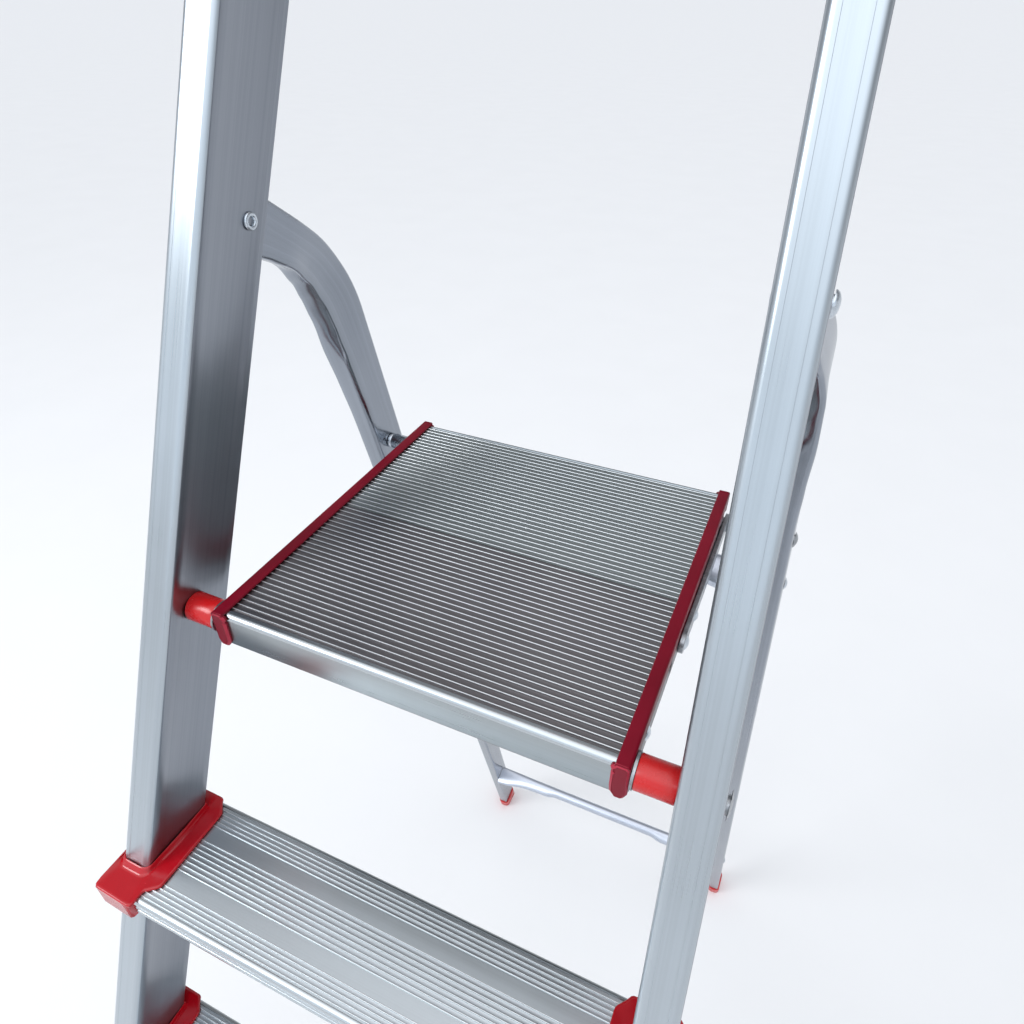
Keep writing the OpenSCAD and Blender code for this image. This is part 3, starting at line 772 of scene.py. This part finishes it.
def collar(shape, side, n, outlines):
    """A collar with a lip round the stile, a flange on the tread's end and a wall below it."""
    centre, angles, near, mid, far = outlines
    z0 = -n * STEP_RISE
    y0 = stile_front(z0)
    rings = []
    for a, *radii in zip(angles, near, mid, far):
        ring = []
        for upright, r, z in collar_profile(*radii):
            x = centre[0] + r * math.cos(a)
            y = centre[1] + r * math.sin(a)
            if upright:
                inner = stile_inner(y0 + TREAD_D / 2 - TREAD_NOSE, z0)
                ring.append(world(side * (inner + x), y0 + y, z0 + z))
            else:
                py = y0 + y + z * math.tan(LEAN)
                ring.append(world(side * (stile_inner(py, z0 + z) + x), py, z0 + z))
        rings.append(ring)
    shape.loft(rings, closed_path=True)


outlines = collar_outlines()
for word, side in SIDES.items():
    shape = Shape()
    for n in range(1, STEP_COUNT + 1):
        collar(shape, side, n, outlines)
    piece(
        f"{word}_collars", shape, [collar_red], "front_frame",
        [f"{word}_step_collars"], sharp=50,
    )

# ---- Platform edgings and side bars ----

EDGING_IN = 121.0
EDGING_END = 2.6
# Steps of a cap towards its face: how far behind the face, and how far its outline has drawn in.
CAP_STEPS = ((1.2, 0.0), (0.3, 0.9), (0.0, 1.3), (0.25, 1.6))


def edging_cap(side, face, back, low, facing):
    """The bevelled lug that closes an edging's end, with a lighter band round its face: partly rubbed
    wear, partly painted highlight on the bevel.
    """
    lug = [
        (121.4, 1.75), (127.6, 1.75), (129, 0.5), (129, low + 4.6), (127.2, low + 0.7), (126.2, low),
        (122.4, low), (119.7, low + 3.8), (119.4, low + 8), (119.4, -5.4), (120.6, -4.1), (119.2, -3.2),
        (118.9, -1.6), (119.6, -0.3), (120.8, 0.3),
    ]
    cx, cz = (EDGING_IN + PLATFORM_HALF) / 2 - 0.4, (1.6 + low) / 2
    rings = []
    for y, shrink in [(back, 0.0)] + [(face + facing * behind, shrink) for behind, shrink in CAP_STEPS]:
        wide, tall = 1 - shrink / 4.8, 1 - shrink / 13
        rings.append([world(side * (cx + (x - cx) * wide), y, cz + (z - cz) * tall) for x, z in lug])
    return rings


def edging(side):
    """A plastic strip over the planks' ends, closed by a cap at each end."""
    shape = Shape()
    outer = PLATFORM_HALF
    strip = [(EDGING_IN, 0.05), (EDGING_IN, 0.9), (EDGING_IN + 0.35, 1.4), (EDGING_IN + 0.9, 1.6)]
    strip += [(outer - 1.6, 1.6)] + arc(outer - 1.5, 0.1, 1.5, 90, 0, 5)
    strip += [(outer, -8.7), (outer - 0.3, -9), (outer - 1.1, -9), (outer - 1.1, 0.05)]
    rings = []
    for y in (-EDGING_END + 0.5, PLATFORM_D + EDGING_END - 0.5):
        rings.append([world(side * x, y, z) for x, z in strip])
    shape.loft(rings)
    # The cap rings in the band take the lighter red: partly wear, partly painted highlight.
    shape.loft(edging_cap(side, -EDGING_END, -0.1, -FASCIA_H - 0.4, 1), band=(1, 2))
    shape.loft(edging_cap(side, PLATFORM_D + EDGING_END, PLATFORM_D + 0.1, -18.4, -1), band=(1, 2))
    return shape


def side_bar(side):
    """A steel bar with a thinner upper part that the edging covers."""
    shape = Shape()
    outer = PLATFORM_HALF
    outline = [
        (outer - 3, -22.4), (outer, -22.4), (outer, -9.4), (outer - 1.3, -9.2),
        (outer - 1.3, -2.8), (outer - 3, -2.8),
    ]
    rings = [[world(side * x, y, z) for x, z in outline] for y in (1.8, 238)]
    shape.loft(rings)
    return shape


for word, side in SIDES.items():
    piece(
        f"{word}_edging_trim", edging(side), [edging_red, worn_and_highlight_red], "platform",
        [f"{word}_edging"], sharp=32,
    )
    piece(
        f"{word}_side_rail", side_bar(side), [shaded_steel], "platform",
        [f"{word}_side_bar"], bevel=0.35,
    )

# ---- Rear legs ----

LEG_BACK = BEND_START * math.sin(BEND_ANGLE) + BEND_R * (1 - math.cos(BEND_ANGLE))
BEND_LENGTH = BEND_R * BEND_ANGLE
BEND_DROP = BEND_START * math.cos(BEND_ANGLE) + BEND_R * math.sin(BEND_ANGLE)
LEG_DROP = (HEIGHT + PIVOT_LEG[1] + LEG_BACK * math.sin(SLANT)) / (math.cos(SLANT) * math.cos(SPLAY))
LEG_IN_FOOT = 14.0
LEG_END = LEG_DROP - LEG_IN_FOOT - BEND_DROP + BEND_START + BEND_LENGTH
LEG_R = 3.2
LEG_WALL = 1.5
LEG_PIVOT_X = STILE_GAP / 2 + STILE_W / 2 - (
    (PIVOT_LEG[0] - STILE_FACE_Y) * math.sin(LEAN) + PIVOT_LEG[1] * math.cos(LEAN)
) * math.tan(SPLAY)


def leg_turn(s):
    """The angle between the leg's upper and lower parts that is still to be turned at one place."""
    return BEND_ANGLE if s <= BEND_START else max(0.0, BEND_ANGLE * (1 - (s - BEND_START) / BEND_LENGTH))


def leg_point(s):
    """The leg's centre line in its own frame: a straight top, a bend and a straight foot."""
    a = leg_turn(s)
    x = LEG_OFFSET * smooth((s - 38) / 66)
    if s <= BEND_START:
        return x, s * math.sin(a), -s * math.cos(a)
    if s <= BEND_START + BEND_LENGTH:
        y = LEG_BACK - BEND_R * (1 - math.cos(a))
        return x, y, -BEND_START * math.cos(BEND_ANGLE) - BEND_R * (math.sin(BEND_ANGLE) - math.sin(a))
    return x, LEG_BACK, -BEND_DROP - (s - BEND_START - BEND_LENGTH)


def along_leg(x, y, z):
    """A point of the right leg's own frame, whose origin is at the leg's pivot."""
    px = x * math.cos(SPLAY) - z * math.sin(SPLAY)
    pz = x * math.sin(SPLAY) + z * math.cos(SPLAY)
    py = y * math.cos(SLANT) - pz * math.sin(SLANT)
    pz = y * math.sin(SLANT) + pz * math.cos(SLANT)
    return LEG_PIVOT_X + px, PIVOT_LEG[0] + py, PIVOT_LEG[1] + pz


def leg_section(w, d, r):
    """A rounded rectangle, counted so that its front face has most of the points."""
    ring = []
    corners = (
        (w / 2 - r, d / 2 - r, 0), (-w / 2 + r, d / 2 - r, 90),
        (-w / 2 + r, -d / 2 + r, 180), (w / 2 - r, -d / 2 + r, 270),
    )
    for k, (cx, cy, start) in enumerate(corners):
        ring += arc(cx, cy, r, start, start + 90, 5)
        nx, ny, _ = corners[(k + 1) % 4]
        end = ring[-1]
        after = arc(nx, ny, r, start + 90, start + 91, 1)[0]
        dx, dy = after[0] - end[0], after[1] - end[1]
        count = 20 if k == 2 else 10
        for i in range(1, count):
            ring.append((end[0] + dx * i / count, end[1] + dy * i / count))
    return ring


def between(s, table):
    """Smooth values along the leg from a few stations."""
    if s <= table[0][0]:
        return table[0][1]
    for (s0, v0), (s1, v1) in zip(table, table[1:]):
        if s <= s1:
            return v0 + (v1 - v0) * smooth((s - s0) / (s1 - s0))
    return table[-1][1]


# How the press leaves the inside of the bend, along the leg, in millimetres.
INNER_EDGE = ((2, 0.0), (30, 4.6), (54, 6.8), (76, 5.2), (105, 2.4), (130, 0.6), (150, 0.0))
OUTER_EDGE = (
    (2, 0.0), (28, 5.4), (48, 7.0), (76, 2.0), (98, -0.8),
    (122, -2.4), (150, -2.6), (188, -1.2), (220, -0.4),
)
OUTER_BULGE = ((84, 0.0), (120, 2.2), (155, 2.6), (200, 1.0), (240, 0.0))
VALLEY_DEPTH = ((48, 0.0), (64, 2.6), (92, 5.6), (138, 6.0), (156, 3.4), (172, 0.0))
VALLEY_PLACE = ((50, 0.42), (100, 0.36), (140, 0.28), (172, 0.10))
SIDE_DISH = ((40, 0.0), (74, 2.2), (130, 2.4), (185, 0.4), (240, 0.0))


def pressed(a, b, s):
    """Moves a point of the leg's section as the bend's pressing does."""
    t = (a + LEG_W / 2) / LEG_W
    front = smooth(1 - (b + LEG_D / 2) / (0.62 * LEG_D))
    face = smooth(1 - (b + LEG_D / 2 - 1.0) / 4.0)
    away = (t - between(s, VALLEY_PLACE)) * LEG_W
    crease = math.exp(-abs(away) / (2.4 if away < 0 else 4.2))
    edge = between(s, INNER_EDGE) * (1 - t) + between(s, OUTER_EDGE) * t
    dish = between(s, SIDE_DISH) * smooth(1 - abs(b + 4) / 15) * smooth((0.25 - t) / 0.25)
    roll = 0.9 * between(s, SIDE_DISH) * front * smooth((0.3 - t) / 0.3)
    a += dish + roll + between(s, OUTER_BULGE) * front * smooth(t)
    return a, b + edge * front + between(s, VALLEY_DEPTH) * crease * face


def leg(side):
    """A tube whose rings are close together along the bend."""
    stations = [-15, -6, 8, 20, 28] + [34 + 4 * i for i in range(50)]
    stations += [240, 300, 500, 800, 1100, 1350, LEG_END]
    outer, inner = [], []
    for s in stations:
        x, y, z = leg_point(s)
        a = leg_turn(s)
        for rings, shrink in ((outer, 0.0), (inner, LEG_WALL)):
            ring = []
            for p, q in leg_section(LEG_W - 2 * shrink, LEG_D - 2 * shrink, LEG_R - shrink):
                p, q = pressed(p, q, s)
                ring.append(world(*along_leg(x + p, y + q * math.cos(a), z + q * math.sin(a))))
            rings.append(mirrored(ring, side))
    shape = Shape()
    shape.tube(outer, inner)
    return shape


for word, side in SIDES.items():
    piece(
        f"{word}_leg_tube", leg(side), [shaded_leg_metal], "rear_frame",
        [f"{word}_rear_leg"], sharp=46,
    )


def leg_y(z):
    """Where the middle of the leg's lower part is at one height."""
    return PIVOT_LEG[0] + LEG_BACK / math.cos(SLANT) + (PIVOT_LEG[1] - z) * math.tan(SLANT)


def leg_inner(z):
    """Where the inner face of the leg's lower part is at one height."""
    down = (PIVOT_LEG[1] - z + LEG_BACK * math.sin(SLANT)) / math.cos(SLANT)
    return LEG_PIVOT_X + LEG_OFFSET - LEG_W / 2 + down * math.tan(SPLAY)


CROSSBAR_R = 9.5
CROSSBAR_POINTS = 40
# The pressed end of a crossbar: distance from the end, half thickness, reach backwards and forwards.
FLARE = (
    (0, 5.0, 10.0, 24.0), (6, 5.2, 10.0, 24.0), (20, 5.8, 10.0, 23.0), (32, 6.6, 9.9, 20.0),
    (46, 7.6, 9.8, 16.8), (62, 8.4, 9.6, 15.0), (80, 8.8, 9.5, 14.2), (102, 9.0, 9.5, 13.8),
    (110, 9.2, 9.5, 13.0), (118, 9.4, 9.5, 10.6), (125, 9.5, 9.5, 9.5), (150, 9.5, 9.5, 9.5),
)


def crossbar(z0):
    """A round tube whose ends are pressed flat and wide towards the front."""
    half = leg_inner(z0) - 1.0
    row = [(d - half, form) for d, *form in FLARE] + [(half - d, form) for d, *form in reversed(FLARE)]
    rings = []
    for x, (thick, behind, ahead) in row:
        ring = []
        power = 2.0 + max(0.0, (CROSSBAR_R - thick) / 4.5)
        for i in range(CROSSBAR_POINTS):
            a = 2 * math.pi * i / CROSSBAR_POINTS
            c, s = squarer(math.cos(a), 2 / power), squarer(math.sin(a), 2 / power)
            u, v = (behind if c > 0 else ahead) * c, thick * s
            y = leg_y(z0) + u * math.cos(SLANT) - v * math.sin(SLANT)
            ring.append(world(x, y, z0 + u * math.sin(SLANT) + v * math.cos(SLANT)))
        rings.append(ring)
    shape = Shape()
    shape.loft(rings)
    return shape


for word, z in (("upper", -82.0), ("lower", -1041.0)):
    piece(
        f"{word}_crossbar_tube", crossbar(z), [tube_metal], "rear_frame",
        [f"{word}_crossbar"], sharp=50,
    )

# ---- Feet ----


def leg_z_at(x, y, height):
    """How far along the leg a point of its section is at one height above the ground."""
    rise = (LEG_BACK + y) * math.sin(SLANT) + PIVOT_LEG[1] + HEIGHT - height
    sideways = (LEG_OFFSET + x) * math.sin(SPLAY) * math.cos(SLANT)
    return -(rise + sideways) / (math.cos(SPLAY) * math.cos(SLANT))


def rear_foot_ring(side, grow, radius, place):
    """The leg's section, grown, with each point where place says along the leg."""
    section = leg_section(LEG_W + 2 * grow, LEG_D + 2 * grow, radius)
    ring = [world(*along_leg(LEG_OFFSET + p, LEG_BACK + q, place(p, q))) for p, q in section]
    return mirrored(ring, side)


def rear_foot(side):
    """A cap with a thick ribbed sole, rounded like the leg that it holds."""
    outer = []
    for height, grow in ((0.0, 1.8), (0.8, 2.5), (6.0, 2.5), (7.0, 2.0), (8.0, 2.0), (9.0, 2.5)):
        outer.append(rear_foot_ring(side, grow, 5.2 + grow, lambda p, q: leg_z_at(p, q, height)))
    for above, grow in ((20.0, 2.5), (33.5, 2.5), (34.0, 2.0)):
        outer.append(rear_foot_ring(side, grow, 5.2 + grow, lambda p, q: above - LEG_DROP))
    hole = []
    for above in (34.0, LEG_IN_FOOT + 0.2):
        hole.append(rear_foot_ring(side, 0.05, LEG_R + 0.05, lambda p, q: above - LEG_DROP))
    shape = Shape()
    shape.cup(outer, hole)
    return shape


FOOT_WALL = 3.0
FOOT_R = 5.0
# The front foot's outside above the ground: height and wall, in the order from the sole up.
SOLE_RIBS = (
    (0.0, 3.0), (2.2, 3.0), (2.8, 2.4), (3.6, 2.4), (4.2, 3.0),
    (6.0, 3.0), (7.0, 2.4), (8.0, 2.4), (9.0, 3.0),
)


def front_foot_outline(grow):
    """The stile's section with round front corners, grown by one wall."""
    w, d, r = STILE_W + grow, STILE_D + grow, FOOT_R + grow
    front = arc(r - grow, r - grow, r, 180, 270, 7) + arc(w - r, r - grow, r, 270, 360, 7)
    return front + [(w, d - 0.8), (w - 0.8, d), (-grow + 0.8, d), (-grow, d - 0.8)]


def front_foot(side):
    """A cap round the stile's end, with a grooved sole."""
    top = 48.0 - HEIGHT / math.cos(LEAN)
    outer = []
    for height, grow in SOLE_RIBS:
        ring = [(x, y, stile_z_at(x, y, height)) for x, y in front_foot_outline(grow)]
        outer.append(stile_ring(ring, side))
    for z, grow in ((top - 28, FOOT_WALL), (top - 0.5, FOOT_WALL), (top, FOOT_WALL - 0.5)):
        outer.append(stile_ring([(x, y, z) for x, y in front_foot_outline(grow)], side))
    inner = front_foot_outline(0.05)
    hole = [
        stile_ring([(x, y, top) for x, y in inner], side),
        stile_ring([(x, y, stile_z_at(x, y, STILE_END + 0.2)) for x, y in inner], side),
    ]
    shape = Shape()
    shape.cup(outer, hole)
    return shape


for word, side in SIDES.items():
    piece(
        f"{word}_rear_foot_cap", rear_foot(side), [spacer_red], "rear_frame",
        [f"{word}_rear_foot"], sharp=40,
    )
    piece(
        f"{word}_front_foot_cap", front_foot(side), [spacer_red], "front_frame",
        [f"{word}_front_foot"], sharp=40,
    )

# ---- Hinge pieces ----

STILE_AT_HINGE = stile_inner(*PIVOT_PLATFORM)


def spacer(side):
    """A plastic tube between the washer on the side bar and the stile."""
    shape = Shape()
    x0, x1 = PLATFORM_HALF + SIDE_PLAY + WASHER_T + 0.05, STILE_AT_HINGE - 0.4
    profile = [
        (x0, 5.05), (x0, 8.9), (x0 + 0.15, 9.25), (x0 + 0.5, 9.4), (x0 + 6, 9.32), (x1 - 6, 9.34),
        (x1 - 0.5, 9.4), (x1 - 0.15, 9.25), (x1, 8.9), (x1, 5.05),
    ]
    lathe(shape, PIVOT_PLATFORM, side, profile, 64)
    return shape


def axle_spacer(side):
    """A metal tube between a link and a rear leg, with a groove near the leg."""
    shape = Shape()
    x0, x1 = PLATFORM_HALF + SIDE_PLAY + LINK_T + SIDE_PLAY, leg_inner(PIVOT_AXLE[1]) - 0.6
    profile = [
        (x0, 4.05), (x0, 6.2), (x0 + 0.3, 6.5), (x1 - 3.4, 6.5), (x1 - 3.1, 6.25),
        (x1 - 2.8, 6.5), (x1 - 0.3, 6.5), (x1, 6.2), (x1, 4.05),
    ]
    lathe(shape, PIVOT_AXLE, side, profile)
    return shape


def leg_rivets():
    """A domed head outside each stile and a rolled, hollow end inside it."""
    shape = Shape()
    inner = stile_inner(*PIVOT_LEG) - 0.5
    outer = inner + STILE_W + 1
    for side in SIDES.values():
        profile = [
            (inner + 1.5, 0.01), (inner + 1.5, 2.2), (inner - 0.8, 2.5), (inner - 1.25, 2.9),
            (inner - 1.4, 3.4), (inner - 1.3, 4.2), (inner - 0.9, 4.8), (inner - 0.3, 5.0),
            (inner + 0.3, 4.9), (inner + 0.3, 4.0), (outer + 0.2, 4.0), (outer + 0.2, 6.0),
            (outer + 0.7, 5.9), (outer + 1.7, 5.2), (outer + 2.5, 3.9), (outer + 3.0, 2.2),
            (outer + 3.2, 0.01),
        ]
        lathe(shape, PIVOT_LEG, side, profile)
    return shape


for word, side in SIDES.items():
    piece(
        f"{word}_spacer_tube", spacer(side), [spacer_red], "front_frame",
        [f"{word}_platform_spacer"], sharp=40,
    )
    piece(
        f"{word}_axle_tube", axle_spacer(side), [bright_steel], "rear_frame",
        [f"{word}_axle_spacer"], sharp=40,
    )
piece(
    "leg_rivets_turned", leg_rivets(), [bright_steel], "front_frame",
    ["leg_pivot_rivets"], sharp=40,
)

# ---- Top rail ----


RAIL_R = 13.0
RAIL_STATIONS = 40
RAIL_POINTS = 36
SLEEVE_WALL = 3.5


def rail_ring(x, up, deep, tall):
    """A rounded ring of the grip, which leans as the stiles do."""
    ring = []
    for k in range(RAIL_POINTS):
        a = 2 * math.pi * k / RAIL_POINTS
        y = STILE_D / 2 + deep * squarer(math.cos(a), 0.8)
        z = up + tall * squarer(math.sin(a), 0.8)
        ring.append(world(
            x,
            STILE_FACE_Y + y * math.cos(LEAN) + z * math.sin(LEAN),
            -y * math.sin(LEAN) + z * math.cos(LEAN),
        ))
    return ring


def sleeve_ring(side, level, cut):
    """A ring of the sleeve over a stile's top, at a level above it, with so much cut off its wall."""
    grow = SLEEVE_WALL - cut
    r = 5.0 + grow
    w, d = STILE_W + grow, STILE_D + grow
    ring = arc(r - grow, r - grow, r, 180, 270, 7) + arc(w - r, r - grow, r, 270, 360, 7)
    ring += arc(w - 2, d - 2, 2, 0, 90, 3) + arc(2 - grow, d - 2, 2, 90, 180, 3)
    return stile_ring([(x, y, RAIL_LENGTH + level) for x, y in ring], side)


def top_rail():
    """The moulded grip across the stiles' tops, with a sleeve over each stile."""
    shape = Shape()
    up = RAIL_LENGTH - 20
    half = STILE_GAP / 2 - up * math.tan(SPLAY)
    rings = []
    for i in range(RAIL_STATIONS + 1):
        u = -1 + 2 * i / RAIL_STATIONS
        flare = smooth((abs(u) - 0.80) / 0.2)
        wave = 0.7 * math.cos(u * half / 11.0) * (1 - smooth((abs(u) - 0.5) / 0.2))
        rings.append(rail_ring(u * half, up, RAIL_R + wave + flare, RAIL_R + flare))
    shape.loft(rings)
    for side in SIDES.values():
        levels = ((-38.0, 0.5), (-37.5, 0.0), (7.0, 0.0), (7.7, 0.4), (8.0, 1.2))
        shape.loft([sleeve_ring(side, level, cut) for level, cut in levels])
    return shape


piece("top_rail_moulded", top_rail(), [collar_red], "front_frame", ["top_rail"], sharp=50)

# ---- Links ----


def link(side, pivot_link):
    """A flat bar with round ends, from the side bar's pivot to the rear axle."""
    dy, dz = PIVOT_AXLE[0] - pivot_link[0], PIVOT_AXLE[1] - pivot_link[1]
    angle = math.degrees(math.atan2(dz, dy))
    outline = arc(*pivot_link, LINK_R, angle + 90, angle + 270, 14)
    outline += arc(*PIVOT_AXLE, LINK_R, angle - 90, angle + 90, 14)
    x0 = PLATFORM_HALF + SIDE_PLAY
    shape = Shape()
    shape.loft([[world(side * x, y, z) for y, z in outline] for x in (x0, x0 + LINK_T)])
    return shape


low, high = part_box("link_pivot_rivets")
middle_y, middle_z = (low.y + high.y) / 2 / MM, (low.z + high.z) / 2 / MM
for word, side in SIDES.items():
    piece(
        f"{word}_link_bar", link(side, (middle_y - SHIFT, middle_z - HEIGHT)), [zinc_steel], "links",
        [f"{word}_link"], bevel=0.4,
    )

# ---- CAD pieces that stay ----

for name, obj in frame["nodes"].items():
    if obj.hide_render:
        continue
    for slot in obj.material_slots:
        slot.material = bright_steel if "rivet" in name else zinc_steel

# ---- Floor, light and camera ----

FLOOR_SIZE = 400
bpy.ops.mesh.primitive_plane_add(size=FLOOR_SIZE, location=(0, 0, 0))
floor = bpy.context.object
floor.name = "floor"
material, tree, shader = nodes_of("floor")
coords = tree.nodes.new("ShaderNodeTexCoord")
soft = noise(tree, coords.outputs["Object"], 3.0, 3.0)
tree.links.new(tint(tree, soft, (0.80, 0.80, 0.80), (0.83, 0.83, 0.83)), shader.inputs["Base Color"])
shader.inputs["Roughness"].default_value = 0.9
shader.inputs["Specular IOR Level"].default_value = 0.1
floor.data.materials.append(material)
floor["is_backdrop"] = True

sky = bpy.data.worlds.new("studio")
sky.use_nodes = True
tree = sky.node_tree
background = tree.nodes["Background"]
coords = tree.nodes.new("ShaderNodeTexCoord")


def lobe(direction, low, high, colour):
    """A soft patch of light in one direction of the studio."""
    dot = tree.nodes.new("ShaderNodeVectorMath")
    dot.operation = "DOT_PRODUCT"
    dot.inputs[1].default_value = Vector(direction).normalized()
    tree.links.new(coords.outputs["Generated"], dot.inputs[0])
    reach = tree.nodes.new("ShaderNodeMapRange")
    reach.interpolation_type = "SMOOTHSTEP"
    reach.inputs["From Min"].default_value = low
    reach.inputs["From Max"].default_value = high
    tree.links.new(dot.outputs["Value"], reach.inputs["Value"])
    scale = tree.nodes.new("ShaderNodeVectorMath")
    scale.operation = "SCALE"
    scale.inputs[0].default_value = colour
    tree.links.new(reach.outputs["Result"], scale.inputs["Scale"])
    return scale.outputs["Vector"]


def plus(a, b):
    """The sum of two patches of light."""
    add = tree.nodes.new("ShaderNodeVectorMath")
    add.operation = "ADD"
    tree.links.new(a, add.inputs[0])
    tree.links.new(b, add.inputs[1])
    return add.outputs["Vector"]


around = lobe((0, 0, 1), -2.0, -1.5, (0.30, 0.31, 0.33))
horizon = lobe((0, 0, 1), 0.42, 0.02, (0.44, 0.45, 0.47))
front = lobe((0.1, -1, 0.25), 0.0, 0.95, (0.50, 0.58, 0.66))
ceiling = lobe((0.1, -0.30, 0.95), 0.50, 0.97, (1.25, 1.25, 1.28))
light = plus(plus(plus(around, horizon), front), ceiling)
tree.links.new(light, background.inputs["Color"])
bpy.context.scene.world = sky


def softbox(name, location, target, size, power, colour):
    """A rectangular lamp that faces a target."""
    data = bpy.data.lights.new(name, "AREA")
    data.shape = "RECTANGLE"
    data.size, data.size_y = size
    data.energy = power
    data.color = colour
    obj = bpy.data.objects.new(name, data)
    obj.location = location
    obj.rotation_euler = (Vector(target) - Vector(location)).to_track_quat("-Z", "Y").to_euler()
    bpy.context.scene.collection.objects.link(obj)


softbox("key", (-2.2, -2.2, 3.4), (0, 0, 1.1), (1.4, 1.4), 60, (0.96, 0.98, 1.0))

# The camera's place is in the platform's frame, and its directions are in the part's.
EYE = (159.3, -210.4, 302.15)
FORWARD = Vector((-0.32785, 0.73620, -0.59205))
UP = Vector((-0.24548, 0.53877, 0.80589))
data = bpy.data.cameras.new("camera")
data.sensor_width = 36.0
data.lens = 25.276
data.clip_start = 0.01
data.clip_end = 1000.0
camera = bpy.data.objects.new("camera", data)
bpy.context.scene.collection.objects.link(camera)
right = FORWARD.cross(UP).normalized()
UP = right.cross(FORWARD).normalized()
turn = Matrix((right, UP, -FORWARD.normalized())).transposed()
camera.matrix_world = Matrix.Translation(world(*EYE)) @ turn.to_4x4()
bpy.context.scene.camera = camera
bpy.context.scene.view_settings.view_transform = "Standard"

low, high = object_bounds()
